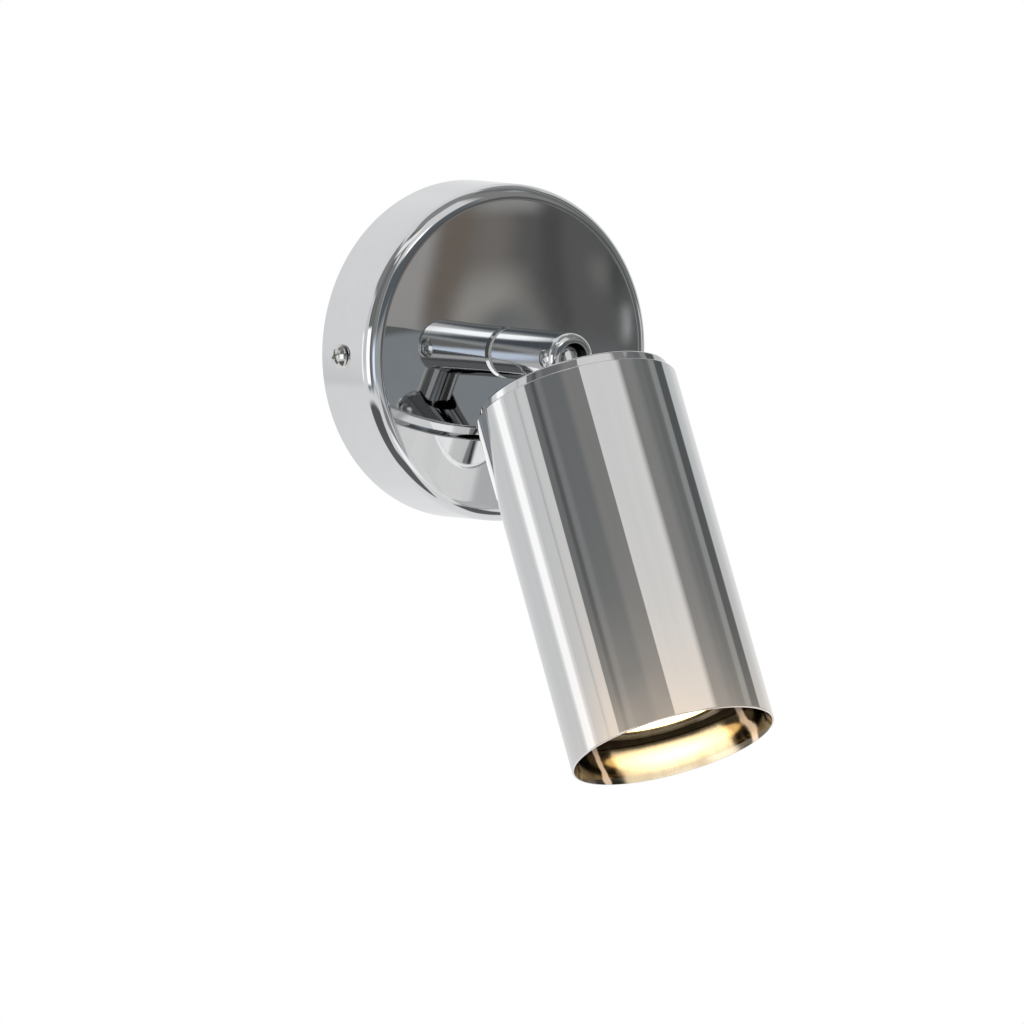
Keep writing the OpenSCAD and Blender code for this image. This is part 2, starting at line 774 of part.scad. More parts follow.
// Contact plates at the bottom of the keyholes, under the ends of the lamp's pins
module holder_contacts() {
    t = key_depth - pin_len - 2 * seat_gap;
    color("gold") hanging(holder_top_s + holder_h - key_depth)
        for (turn = [0, 180]) rotate([0, 0, turn + lock_turn])
            translate([pin_pitch / 2, 0, seat_gap / 2]) cylinder(d = pin_head_d - 0.6, h = t);
}

// Screws that hold the lampholder under the feet of its frame
module holder_screws() {
    color("silver") hanging(holder_top_s - frame_t) for (side = [-1, 1])
        translate([side * holder_screw_x, 0, 0]) rotate([180, 0, 0])
            pan_screw(m3_head_d, holder_head_h, m3, frame_t + holder_grip, m3_recess);
}

// Route of a lead in the head: down the neck, round to a mouth and straight in
function head_route(row, mouth, pull, dir) =
    let (top = [0, row * lead_pitch, lead_stop], low = [0, row * lead_pitch, spigot_end])
    concat([top], bezier_path([low, low + [0, 0, pull], mouth - dir * pull, mouth]),
        [mouth + dir * lead_grip]);

module head_live_lead() {
    color("sienna") hanging(0)
        lead(head_route(1, [-pin_pitch / 2, 0, holder_top_s], lead_in, [0, 0, 1]), [0, 1, 0]);
}

module head_neutral_lead() {
    color("royalblue") hanging(0)
        lead(head_route(0, [pin_pitch / 2, 0, holder_top_s], lead_in, [0, 0, 1]), [0, 1, 0]);
}

// The earth lead turns back up to the tag under the frame's top
module head_earth_lead() {
    mouth = [earth_screw_x, -tag_mouth(m3_tag_d), frame_top_s + frame_t + tag_axis];
    color("yellowgreen") hanging(0)
        lead(head_route(-1, mouth, head_earth_in, [0, 1, 0]), [1, 0, 0.3]);
}

module head_earth_tag() {
    color("silver") hanging(frame_top_s + frame_t) translate([earth_screw_x, 0, 0])
        rotate([0, 0, 180]) ring_tag(m3 + 0.2, m3_tag_d);
}

module head_earth_screw() {
    color("gold") hanging(frame_top_s + frame_t + tag_t) translate([earth_screw_x, 0, 0])
        pan_screw(m3_head_d, m3_head_h, m3, frame_t + tag_t + 1.2, m3_recess);
}

// Lamp shell: a finned body that widens from its base to a dished front bezel
module lamp_shell() {
    length = lamp_len - pin_len;
    lamp_r = lamp_d / 2;
    base_h = length * 0.3;
    rim_h = length * 0.86;
    waist = lamp_r - lamp_base_r;
    cup_r = lens_d / 2;
    color("whitesmoke") hanging(lamp_base_s) difference() {
        rotate_extrude() polygon(concat(
            [[0, 0]],
            arc(lamp_base_r - 2, 2, 2, -90, 0, 4),
            [for (i = [0 : 8]) [lamp_base_r + waist * sin(90 * i / 8),
                                base_h + (rim_h - base_h) * (1 - cos(90 * i / 8))]],
            arc(lamp_r - 0.8, length - 0.8, 0.8, 0, 90, 4),
            [[cup_r, length - bezel_dip], [cup_r, length - cup_depth],
             [0, length - cup_depth]]));
        for (i = [0 : fin_count - 1]) rotate([0, 0, 360 * (i + 0.5) / fin_count])
            translate([lamp_base_r - 1, -1, base_h * 0.8])
                cube([lamp_r, 2, (rim_h - base_h) * 0.85]);
        for (turn = [0, 180]) rotate([0, 0, turn + lock_turn])
            translate([pin_pitch / 2, 0, -1]) cylinder(d = pin_stem_d + 0.1, h = 4);
    }
}

// Light board: a disc in the bottom of the lamp's cup, with its chips on it
module lamp_board() {
    length = lamp_len - pin_len;
    chips = 6;
    color("ivory") hanging(lamp_base_s + length - cup_depth) {
        cylinder(d = lens_d - 1, h = board_t);
        for (i = [0 : chips - 1]) rotate([0, 0, 360 * i / chips])
            translate([lens_d * 0.3 - 1.5, -1.5, board_t]) cube([3, 3, 0.8]);
    }
}

// Front lens: a disc of frosted plastic inside the lamp's bezel
module lamp_lens() {
    color("lightyellow") hanging(lamp_front_s - bezel_dip - lens_t)
        cylinder(d = lens_d - 2 * run_gap, h = lens_t - 0.3);
}

// Lamp pins: a stem and a wider head each, turned to their locked place
module lamp_pins() {
    color("gainsboro") hanging(lamp_base_s) for (turn = [0, 180])
        rotate([0, 0, turn + lock_turn]) translate([pin_pitch / 2, 0, 0]) {
            translate([0, 0, -pin_len + pin_head_h - 0.01])
                cylinder(d = pin_stem_d, h = pin_len - pin_head_h + 2.5);
            translate([0, 0, -pin_len]) cylinder(d = pin_head_d, h = pin_head_h);
        }
}

canopy();
wall_bracket();
side_screws();
terminal_block();
terminal_tubes();
terminal_screws();
block_screw();
earth_screw();
earth_tag();
live_lead();
neutral_lead();
earth_lead();
stop_stud();
arm();
arm_nipple();
front_washer();
friction_washer();
stop_washer();
spring_washer();
arm_nut();
arm_sleeve();
arm_live_lead();
arm_neutral_lead();
arm_earth_lead();
pivot_screws();
pivot_washers();
neck();
cap();
tube();
holder_frame();
lock_washer();
neck_nut();
lampholder();
holder_contacts();
holder_screws();
head_live_lead();
head_neutral_lead();
head_earth_lead();
head_earth_tag();
head_earth_screw();
lamp_shell();
lamp_board();
lamp_lens();
lamp_pins();
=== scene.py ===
import json
import math

import bpy
import numpy as np
from mathutils import Matrix, Vector

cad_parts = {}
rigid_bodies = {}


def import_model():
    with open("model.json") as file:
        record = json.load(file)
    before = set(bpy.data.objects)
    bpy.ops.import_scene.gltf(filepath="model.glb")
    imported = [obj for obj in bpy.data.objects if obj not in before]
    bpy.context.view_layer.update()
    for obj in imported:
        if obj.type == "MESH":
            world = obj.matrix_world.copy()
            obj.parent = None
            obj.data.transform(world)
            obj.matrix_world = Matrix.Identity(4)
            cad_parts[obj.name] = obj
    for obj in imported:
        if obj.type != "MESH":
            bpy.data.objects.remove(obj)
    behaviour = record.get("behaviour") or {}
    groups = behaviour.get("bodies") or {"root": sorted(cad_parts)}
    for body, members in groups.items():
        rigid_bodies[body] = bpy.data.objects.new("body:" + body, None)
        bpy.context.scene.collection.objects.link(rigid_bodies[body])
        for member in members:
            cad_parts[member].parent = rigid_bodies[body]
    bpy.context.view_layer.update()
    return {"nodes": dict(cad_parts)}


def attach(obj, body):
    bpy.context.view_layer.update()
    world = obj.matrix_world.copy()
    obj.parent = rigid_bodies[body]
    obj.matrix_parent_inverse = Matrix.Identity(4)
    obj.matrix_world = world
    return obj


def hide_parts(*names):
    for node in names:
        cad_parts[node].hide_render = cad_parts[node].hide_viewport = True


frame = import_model()

# Studio: the room that the plating mirrors, made of soft-edged panels, flags and walls round
# the lamp. Only mirrored rays see these cards, and the camera and dull surfaces see plain
# white. The last card, low_fill, brightens only what is mirrored twice or more.


def add_node(tree, kind, inputs=(), **settings):
    """Adds one node; inputs are pairs of a socket and a value or another node's output."""
    node = tree.nodes.new(kind)
    for key, value in settings.items():
        setattr(node, key, value)
    for socket, value in inputs:
        if isinstance(value, bpy.types.NodeSocket):
            tree.links.new(value, node.inputs[socket])
        else:
            node.inputs[socket].default_value = value
    return node


def number(tree, operation, *values):
    """Result of one Math node on one, two or three numbers or outputs."""
    return add_node(tree, "ShaderNodeMath", list(enumerate(values)), operation=operation).outputs[0]


def remap(tree, value, low, high, at_low=0.0, at_high=1.0, way="LINEAR"):
    """Value mapped from low..high to at_low..at_high, and held there beyond."""
    return add_node(tree, "ShaderNodeMapRange", [
        (0, value), (1, low), (2, high), (3, at_low), (4, at_high)], interpolation_type=way).outputs[0]


def mixed(tree, share, first, second, blend="MIX"):
    """Mix of two colours, each a socket or red, green and blue, by a share."""
    first, second = (c if isinstance(c, bpy.types.NodeSocket) else (*c, 1) for c in (first, second))
    return add_node(tree, "ShaderNodeMix", [(0, share), (6, first), (7, second)],
                    data_type="RGBA", blend_type=blend).outputs[2]


def new_group(name, inputs, outputs):
    """Node group with inputs of (label, kind, default) and outputs of (label, kind)."""
    tree = bpy.data.node_groups.new(name, "ShaderNodeTree")
    for label, kind, default in inputs:
        tree.interface.new_socket(label, in_out="INPUT", socket_type=kind).default_value = default
    for label, kind in outputs:
        tree.interface.new_socket(label, in_out="OUTPUT", socket_type=kind)
    return tree, tree.nodes.new("NodeGroupInput").outputs, tree.nodes.new("NodeGroupOutput").inputs


NUMBER, VECTOR = "NodeSocketFloat", "NodeSocketVector"

card_group, given, result = new_group("studio_card", [
    ("Round", NUMBER, 0), ("Up", NUMBER, 0), ("Middle", NUMBER, 0), ("Height", NUMBER, 0),
    ("Half width", NUMBER, 10), ("Half height", NUMBER, 10), ("Side edge", NUMBER, 1),
    ("Top edge", NUMBER, 1)], [("Mask", NUMBER)])
masks = []
for place, middle, half, edge in (("Round", "Middle", "Half width", "Side edge"),
                                  ("Up", "Height", "Half height", "Top edge")):
    away = number(card_group, "SUBTRACT", given[place], given[middle])
    if place == "Round":
        away = number(card_group, "WRAP", away, 180, -180)
    away = number(card_group, "ABSOLUTE", away)
    inside = number(card_group, "SUBTRACT", given[half], away)
    inside = number(card_group, "DIVIDE", inside, given[edge])
    masks.append(remap(card_group, inside, -0.5, 0.5, way="SMOOTHSTEP"))
card_group.links.new(number(card_group, "MULTIPLY", *masks), result["Mask"])

# name, middle (degrees round from the lamp's front, to its right), height (degrees up),
# half width, half height, soft edge at the sides, soft edge above and below, colour. The
# small plate_ cards are the clouds that the canopy's plate mirrors to the camera.
studio_cards = [
    ("back_band", 182, -9, 32, 5, 5, 4, (0.83, 0.84, 0.85)),
    ("low_back", 180, -62, 130, 20, 40, 6, (1.0, 1.02, 1.03)),
    ("left_wall", -112, 8, 14, 16, 1, 6, (0.82, 0.83, 0.84)),
    ("left_wall_light", -103, 8, 4, 16, 2, 6, (0.87, 0.87, 0.87)),
    ("left_tube", -136.3, -3, 6, 10, 5, 3, (1.5, 1.5, 1.5)),
    ("left_gap", -110.3, 8, 1.0, 20, 1.2, 4, (0.66, 0.67, 0.68)),
    ("left_flag", -65, 28, 33.4, 48, 0.8, 6, (0.205, 0.215, 0.22)),
    ("left_flag_edge", -89.5, 28, 2.2, 48, 3, 6, (0.13, 0.132, 0.135)),
    ("left_flag_light", -83, 28, 3.0, 48, 4, 6, (0.26, 0.27, 0.28)),
    ("left_flag_end", -43, 28, 13, 48, 10, 6, (0.29, 0.29, 0.285)),
    ("left_window", -83, -2.5, 14, 15, 4, 3, (1.7, 1.75, 1.8)),
    ("front_dark", 2, 12, 30, 20, 8, 8, (0.13, 0.155, 0.175)),
    ("front_low", 0, -4, 32, 8, 12, 8, (0.46, 0.48, 0.50)),
    ("front_panel", -0.3, 63, 31.6, 27, 0.8, 2, (0.93, 0.93, 0.925)),
    ("front_lamp", -4, 34.5, 9, 3.6, 7, 4, (2.3, 2.35, 2.4)),
    ("arm_window", -38, -6, 8, 9, 5, 11, (1.15, 1.3, 1.55)),
    ("low_window", -44, -21, 11, 4, 8, 6, (0.95, 1.0, 1.03)),
    ("high_window", -55, 58, 34, 5, 8, 5, (1.2, 1.2, 1.2)),
    ("right_flag", 65, 30, 33.6, 48, 0.8, 5, (0.22, 0.23, 0.23)),
    ("right_flag_light", 40, 30, 12, 48, 12, 5, (0.31, 0.31, 0.305)),
    ("right_flag_dip", 68, 30, 4, 48, 6, 5, (0.195, 0.20, 0.20)),
    ("right_flag_strip", 79, 30, 4.5, 48, 4, 5, (0.36, 0.37, 0.37)),
    ("right_flag_edge", 90.5, 30, 6.5, 48, 1.6, 5, (0.125, 0.135, 0.135)),
    ("right_wall", 115, 8, 17, 30, 2, 6, (0.71, 0.73, 0.74)),
    ("right_wall_end", 134, 0, 20, 30, 16, 6, (0.87, 0.875, 0.88)),
    ("cap_view", 54, 43.5, 6, 4, 2, 1, (0.43, 0.47, 0.50)),
    ("plate_dark", 36, -4, 22, 17, 6, 8, (0.135, 0.135, 0.135)),
    ("plate_left", 41, -5.5, 3.1, 3.4, 2.2, 3, (0.42, 0.405, 0.395)),
    ("plate_left_low", 39, -1.5, 4, 2.5, 3, 3, (0.34, 0.36, 0.37)),
    ("plate_brown", 36.9, -7, 1.3, 3, 1.6, 3, (0.20, 0.17, 0.145)),
    ("plate_middle", 35.1, -7, 1.0, 3, 1.6, 2, (0.225, 0.21, 0.195)),
    ("plate_light", 34.9, -4.5, 1.2, 1.0, 1.6, 2, (0.38, 0.365, 0.34)),
    ("plate_top", 34.5, -9.2, 1.9, 0.7, 2.5, 0.9, (0.36, 0.36, 0.35)),
    ("plate_shade", 32.2, -6, 0.6, 3, 1.0, 2, (0.10, 0.10, 0.10)),
    ("plate_right", 29.5, -6.2, 0.6, 0.6, 1.2, 1.0, (0.20, 0.20, 0.195)),
    ("plate_edge", 28.3, -7, 0.5, 2.0, 0.9, 2, (0.09, 0.095, 0.095)),
    ("plate_spark", 27.8, -4.4, 0.25, 0.6, 0.6, 0.6, (0.50, 0.52, 0.53)),
    ("plate_low", 33, -2, 5, 1.4, 3, 2, (0.20, 0.21, 0.22)),
    ("low_left_dark", -81, -45, 38, 18, 6, 5, (0.13, 0.135, 0.14)),
    ("low_dark", -65, -76, 47, 28, 6, 6, (0.15, 0.155, 0.16)),
    ("front_floor", -6, -20, 12, 6, 6, 4, (0.30, 0.31, 0.32)),
    ("arm_line", -8, -37, 9, 9, 5, 5, (1.35, 1.37, 1.4)),
    ("low_right_dark", 44, -54, 18, 15, 8, 6, (0.14, 0.145, 0.15)),
    ("zenith", 0, 83, 180, 12, 1, 5, (0.34, 0.345, 0.35)),
    ("left_top", -112, 44, 24, 15, 8, 8, (0.30, 0.305, 0.31)),
    ("right_top", 108, 54, 18, 13, 8, 6, (0.38, 0.385, 0.39)),
    ("rim_spark", -51, 47.5, 6, 2.5, 3, 3, (1.2, 1.22, 1.25)),
    ("right_low_light", 80, -3, 9, 6, 5, 3, (0.75, 0.76, 0.77)),
]

world = bpy.data.worlds.new("studio")
bpy.context.scene.world = world
world.use_nodes = True
world.cycles.sampling_method = "NONE"
bpy.context.scene.cycles.min_light_bounces = 8  # keeps what is mirrored many times free of specks
tree = world.node_tree
tree.nodes.clear()
looking = add_node(tree, "ShaderNodeTexCoord").outputs["Generated"]
axis = add_node(tree, "ShaderNodeSeparateXYZ", [(0, looking)]).outputs
toward = number(tree, "MULTIPLY", axis[1], -1)
round_lamp = number(tree, "DEGREES", number(tree, "ARCTAN2", axis[0], toward))
up_lamp = number(tree, "DEGREES", number(tree, "ARCSINE", axis[2]))
room = (0.97, 0.98, 0.99)


def card_mask(label, *place_and_size):
    """Mask of one card, from 0 to 1."""
    return add_node(tree, "ShaderNodeGroup", list(enumerate((round_lamp, up_lamp, *place_and_size))),
                    node_tree=card_group, label=label).outputs[0]


for label, *place_and_size, colour in studio_cards:
    room = mixed(tree, card_mask(label, *place_and_size), room, colour)
path = add_node(tree, "ShaderNodeLightPath").outputs
fill_light = remap(tree, path["Glossy Depth"], 1.0, 3.0, 0.0, 3.0)
room = mixed(tree, card_mask("low_fill", -84, -62, 132, 34, 14, 8), room, fill_light, "LIGHTEN")
seen = mixed(tree, path["Is Glossy Ray"], (1, 1, 1), room)
backdrop = add_node(tree, "ShaderNodeBackground", [("Color", seen), ("Strength", 1.0)])
add_node(tree, "ShaderNodeOutputWorld", [("Surface", backdrop.outputs[0])])

# Wall bracket: a pressed steel cross with bent ears, zinc plated. The other plated steel
# parts have the same finish: grey with a faint blue and straw bloom, and fine wipe marks.


def new_finish(name, **constants):
    """Material with one Principled shader whose constant sockets are set by name."""
    material = bpy.data.materials.new(name)
    material.use_nodes = True
    shader = material.node_tree.nodes["Principled BSDF"]
    for key, value in constants.items():
        shader.inputs[key.replace("_", " ").title()].default_value = value
    return material, material.node_tree, shader.inputs


def noise(tree, place, scale, detail, roughness=0.5):
    """Noise between 0 and 1 at a place, with scale in waves per metre."""
    return add_node(tree, "ShaderNodeTexNoise", [
        ("Vector", place), ("Scale", scale), ("Detail", detail), ("Roughness", roughness)]).outputs[0]


def spots(tree, scale, detail=3.0, stretch=None):
    """Noise between 0 and 1 on object coordinates, with scale in waves per metre."""
    place = add_node(tree, "ShaderNodeTexCoord").outputs["Object"]
    if stretch:
        turn, size = stretch
        place = add_node(tree, "ShaderNodeMapping", [
            ("Vector", place), ("Rotation", turn), ("Scale", size)]).outputs[0]
    return noise(tree, place, scale, detail)


def between(tree, factor, low, high):
    """Linear map of a factor from 0.3..0.7, where noise mostly lies, to low..high."""
    return remap(tree, factor, 0.3, 0.7, low, high)


def tone(tree, factor, dark, light):
    """Blend of two colours by a factor."""
    return mixed(tree, between(tree, factor, 0, 1), dark, light)


def bump(tree, height, distance, strength=0.5):
    """Normal of a height field, distance in metres."""
    return add_node(tree, "ShaderNodeBump", [
        ("Strength", strength), ("Distance", distance), ("Height", height)]).outputs[0]


def set_finish(material, *nodes):
    """Gives CAD nodes a material in every slot."""
    for name in nodes:
        for slot in frame["nodes"][name].material_slots:
            slot.material = material


wipe_group, given, result = new_group("wipe_marks", [
    ("Vector", VECTOR, (0, 0, 0)), ("Scale", NUMBER, 80), ("Smooth", NUMBER, 0.05),
    ("Dull", NUMBER, 0.15)], [("Roughness", NUMBER), ("Marks", NUMBER)])
broad = noise(wipe_group, given["Vector"], given["Scale"], 5.0)
fine = noise(wipe_group, given["Vector"], number(wipe_group, "MULTIPLY", given["Scale"], 9), 3.0)
marks = number(wipe_group, "MULTIPLY_ADD", fine, 0.35, number(wipe_group, "MULTIPLY", broad, 0.65))
wipe_group.links.new(marks, result["Marks"])
wipe_group.links.new(remap(wipe_group, marks, 0.38, 0.62, given["Smooth"], given["Dull"]),
                     result["Roughness"])


def wiped(tree, scale, smooth, dull):
    """Roughness and mark outputs of the wipe-mark group on object coordinates."""
    place = add_node(tree, "ShaderNodeTexCoord").outputs["Object"]
    return add_node(tree, "ShaderNodeGroup", [
        (0, place), (1, scale), (2, smooth), (3, dull)], node_tree=wipe_group).outputs


def wiped_finish(name, wipes, dark, light, height, **constants):
    """Material whose wipe marks (waves per metre, smoothest and dullest roughness) also
    give its tone, from dark to light, and its relief, with height in metres."""
    material, tree, shader = new_finish(name, **constants)
    rough, marks = wiped(tree, *wipes)
    tree.links.new(rough, shader["Roughness"])
    tree.links.new(tone(tree, marks, dark, light), shader["Base Color"])
    tree.links.new(bump(tree, marks, height, 0.3), shader["Normal"])
    return material


zinc, tree, shader = new_finish("zinc_plate", metallic=1.0)
rough, marks = wiped(tree, 60, 0.22, 0.42)
tree.links.new(rough, shader["Roughness"])
tree.links.new(tone(tree, spots(tree, 90), (0.42, 0.44, 0.47), (0.60, 0.58, 0.53)), shader["Base Color"])
tree.links.new(bump(tree, marks, 0.00005, 0.3), shader["Normal"])
set_finish(zinc, "wall_bracket", "stop_stud", "arm_nipple", "stop_washer", "arm_nut", "holder_frame",
           "block_screw", "holder_screws", "lock_washer", "earth_tag", "head_earth_tag")

# Terminal block and its metal: a translucent white plastic moulding with plain brass
# tubes and screws. The earth screws, neck nut, contacts and lamp pins are brass too.
plastic, tree, shader = new_finish("block_plastic", subsurface_weight=0.1, subsurface_scale=0.002)
shader["Subsurface Radius"].default_value = (1.0, 0.9, 0.7)
tree.links.new(wiped(tree, 120, 0.32, 0.5)["Roughness"], shader["Roughness"])
tree.links.new(tone(tree, spots(tree, 45), (0.78, 0.77, 0.72), (0.86, 0.86, 0.83)), shader["Base Color"])
tree.links.new(bump(tree, spots(tree, 1500, 2), 0.00003, 0.3), shader["Normal"])
set_finish(plastic, "terminal_block")

brass = wiped_finish("plain_brass", (150, 0.18, 0.38), (0.62, 0.44, 0.17), (0.80, 0.61, 0.29),
                     0.00004, metallic=1.0)
set_finish(brass, "terminal_tubes", "terminal_screws", "earth_screw", "head_earth_screw",
           "neck_nut", "holder_contacts", "lamp_pins")

# Leads: stranded copper in heat-resistant insulation, live brown, neutral blue and earth
# green with yellow stripes. Each runs in three stretches, as in the solids.
lead_radius, lead_pitch, lead_grip, lead_stop = 0.65, 1.4, 2.0, 2.0


def from_wall(points):
    """Millimetres across, up and out of the wall, to metres in the lamp's frame."""
    across, up, out = np.moveaxis(np.asarray(points, float), -1, 0)
    return np.stack([across, -out, up], -1) * 0.001


tilt = math.radians(27)
pivot_out = 52.5


def hanging(points):
    """Millimetres across, to the front and down the tilted head from its pivot, to metres."""
    across, front, down = np.moveaxis(np.asarray(points, float), -1, 0)
    return np.stack([across, -pivot_out - front * math.cos(tilt) - down * math.sin(tilt),
                     front * math.sin(tilt) - down * math.cos(tilt)], -1) * 0.001


def new_piece(name, points, faces, finishes, body, stands_for=(), finish_of=None, crease=35):
    """Closed mesh from points and faces, turned outwards by its signed volume, smooth but
    for edges sharper than crease degrees, riding on a body."""
    points = np.asarray(points, float)
    fan = [(f[0], f[i], f[i + 1]) for f in faces for i in range(1, len(f) - 1)]
    a, b, c = points[np.array(fan).T]
    if np.einsum("ij,ij->i", a, np.cross(b, c)).sum() < 0:
        faces = [f[::-1] for f in faces]
    mesh = bpy.data.meshes.new(name)
    mesh.from_pydata(points.tolist(), [], faces)
    for finish in finishes:
        mesh.materials.append(finish)
    if finish_of is not None:
        mesh.polygons.foreach_set("material_index", np.asarray(finish_of, np.int32))
    mesh.polygons.foreach_set("use_smooth", np.ones(len(faces), bool))
    mesh.set_sharp_from_angle(angle=math.radians(crease))
    piece = bpy.data.objects.new(name, mesh)
    bpy.context.scene.collection.objects.link(piece)
    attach(piece, body)
    if stands_for:
        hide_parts(*stands_for)
    return piece


def curve(p0, p1, p2, p3, steps=40):
    """Cubic curve of four control points: the sum of the points weighed by
    (1-t)^3, 3t(1-t)^2, 3t^2(1-t) and t^3."""
    t = np.linspace(0, 1, steps)[:, None]
    p0, p1, p2, p3 = (np.asarray(p, float) for p in (p0, p1, p2, p3))
    return (1 - t) ** 3 * p0 + 3 * t * (1 - t) ** 2 * p1 + 3 * t * t * (1 - t) * p2 + t ** 3 * p3


def carried_ring(path, radius, side, sides=20):
    """Tube round a path: point i, j is path_i + radius (cos a_j u_i + sin a_j w_i), where
    u and w are square to the path's direction there. Its two ends are flat caps."""
    path = np.asarray(path, float)
    along = np.gradient(path, axis=0)
    along /= np.linalg.norm(along, axis=1)[:, None]
    u = np.cross(along, side)
    u /= np.linalg.norm(u, axis=1)[:, None]
    w = np.cross(along, u)
    a = np.linspace(0, 2 * np.pi, sides, endpoint=False)
    grid = path[:, None] + radius * (np.cos(a)[:, None] * u[:, None] + np.sin(a)[:, None] * w[:, None])
    i, j = np.meshgrid(np.arange(len(path) - 1), np.arange(sides), indexing="ij")
    k = (j + 1) % sides
    quads = np.stack([i * sides + j, i * sides + k, (i + 1) * sides + k, (i + 1) * sides + j], -1)
    faces = quads.reshape(-1, 4).tolist()
    last = (len(path) - 1) * sides
    faces += [list(range(sides))[::-1], [last + n for n in range(sides)]]
    return grid.reshape(-1, 3), faces


def insulation(name, colour, darker, stripe=None):
    """Smooth insulation with a faint mottle; a stripe of a second colour runs lengthwise."""
    material, tree, shader = new_finish(name)
    rough, marks = wiped(tree, 300, 0.3, 0.5)
    tree.links.new(rough, shader["Roughness"])
    skin = tone(tree, marks, darker, colour)
    if stripe:
        side = add_node(tree, "ShaderNodeAttribute", attribute_name="stripe").outputs["Fac"]
        skin = mixed(tree, side, skin, stripe)
    tree.links.new(skin, shader["Base Color"])
    tree.links.new(bump(tree, marks, 0.00002, 0.3), shader["Normal"])
    return material


insulations = {
    "live": insulation("lead_brown_skin", (0.17, 0.075, 0.03), (0.13, 0.055, 0.02)),
    "neutral": insulation("lead_blue_skin", (0.02, 0.09, 0.36), (0.015, 0.07, 0.28)),
    "earth": insulation("lead_earth_skin", (0.06, 0.30, 0.05), (0.045, 0.24, 0.04), (0.80, 0.62, 0.03)),
}
nipple_back = 12.1
lead_rows = {"live": 1, "neutral": 0, "earth": -1}
canopy_mouths = {"live": ((-5.5, 19, 6.9), (0, 1, 0)), "neutral": ((5.5, 19, 6.9), (0, 1, 0)),
                 "earth": ((0, -13, 2.65), (0, -1, 0))}
head_mouths = {"live": ((-5, 0, 46.0), (0, 0, 1), 7, (0, 1, 0)),
               "neutral": ((5, 0, 46.0), (0, 0, 1), 7, (0, 1, 0)),
               "earth": ((12, -6, 14.85), (0, 1, 0), 8, (1, 0, 0.3))}
for wire, row in lead_rows.items():
    start = np.array([0, row * lead_pitch, nipple_back - 0.1])
    mouth, way = (np.array(v, float) for v in canopy_mouths[wire])
    routes = {}
    bent = curve(start, start - [0, 0, 6.5], mouth - way * 7, mouth)
    routes[f"{wire}_lead"] = ("base", from_wall(np.vstack([bent, mouth + way * lead_grip])), (1, 0, 0))
    straight = [[0, row * lead_pitch, out] for out in np.linspace(nipple_back, pivot_out - lead_stop, 12)]
    routes[f"arm_{wire}_lead"] = ("arm", from_wall(straight), (1, 0, 0))
    mouth, way, pull, side = head_mouths[wire]
    mouth, way = np.array(mouth, float), np.array(way, float)
    low = np.array([0, row * lead_pitch, 18.7])
    bent = curve(low, low + [0, 0, pull], mouth - way * pull, mouth)
    route = np.vstack([[0, row * lead_pitch, lead_stop], bent, mouth + way * lead_grip])
    routes[f"head_{wire}_lead"] = ("head", hanging(route), side)
    for name, (body, path, side) in routes.items():
        points, faces = carried_ring(path, lead_radius * 0.001, np.array(side, float))
        piece = new_piece(f"{name}_run", points, faces, [insulations[wire]], body,
                          [name])
        if wire == "earth":
            band = (np.arange(len(points)) % 20 // 5) % 2
            mark = piece.data.attributes.new("stripe", "FLOAT", "POINT")
            mark.data.foreach_set("value", band.astype(np.float32))

# Canopy: a spun and pressed steel cup, polished and chrome plated like the arm, neck, cap
# and tube. The plate's front is a shallow dish that runs out of the rounded edge.
canopy_radius, canopy_height, sheet_metal = 50.0, 25.0, 1.2
edge_round, side_draft, dish_depth, seat_radius, nipple_hole = 4.4, 0.35, 1.2, 10.5, 5.1
face_radius = canopy_radius - side_draft - edge_round


def arc(cx, cy, radius, start, stop, steps=16):
    """Points cx + radius cos a, cy + radius sin a, for a from start to stop degrees."""
    a = np.radians(np.linspace(start, stop, steps))
    return np.stack([cx + radius * np.cos(a), cy + radius * np.sin(a)], 1)


def turned(outline, place, turns=384, loop=False, relief=None):
    """Outline of (radius, height) points carried round the height axis: point i, j is
    (r_i cos a_j, r_i sin a_j, h_i - relief). A first or last point on the axis is one
    pole, and a loop joins its last ring to its first."""
    outline = np.asarray(outline, float)
    if loop and np.allclose(outline[0], outline[-1]):
        outline = outline[:-1]
    ring = outline[:, 0] > 1e-9
    a = np.linspace(0, 2 * np.pi, turns, endpoint=False)
    r, h = outline[ring, 0][:, None], outline[ring, 1][:, None]
    grid = np.stack([r * np.cos(a), r * np.sin(a), np.broadcast_to(h, (len(r), turns))], -1)
    rows = len(grid)
    i, j = np.meshgrid(np.arange(rows if loop else rows - 1), np.arange(turns), indexing="ij")
    k, n = (j + 1) % turns, (i + 1) % rows
    faces = np.stack([i * turns + j, i * turns + k, n * turns + k, n * turns + j], -1)
    faces = faces.reshape(-1, 4).tolist()
    points = grid.reshape(-1, 3)
    for pole, row, flip in ((0, 0, 1), (len(outline) - 1, rows - 1, -1)):
        if not ring[pole]:
            faces += [[len(points), row * turns + m, row * turns + (m + 1) % turns][::-flip]
                      for m in range(turns)]
            points = np.vstack([points, [0, 0, outline[pole, 1]]])
    if relief is not None:
        points = points - np.stack([0 * points[:, 0], 0 * points[:, 0], relief(points)], -1)
    return place(points), faces


chrome, tree, shader = new_finish("polished_chrome", metallic=1.0)
rough, marks = wiped(tree, 35, 0.015, 0.05)
tree.links.new(rough, shader["Roughness"])
tree.links.new(tone(tree, marks, (0.60, 0.605, 0.61), (0.645, 0.645, 0.645)), shader["Base Color"])
tree.links.new(bump(tree, spots(tree, 60, 1), 0.00002, 0.25), shader["Normal"])


def dish(radius):
    """Height of the plate at a radius: its rim height less the dish's depth, eased by
    the square of the way from the flat seat out to the rim."""
    out = np.clip((radius - seat_radius) / (face_radius - seat_radius), 0, 1)
    return canopy_height - dish_depth * (1 - out ** 2)


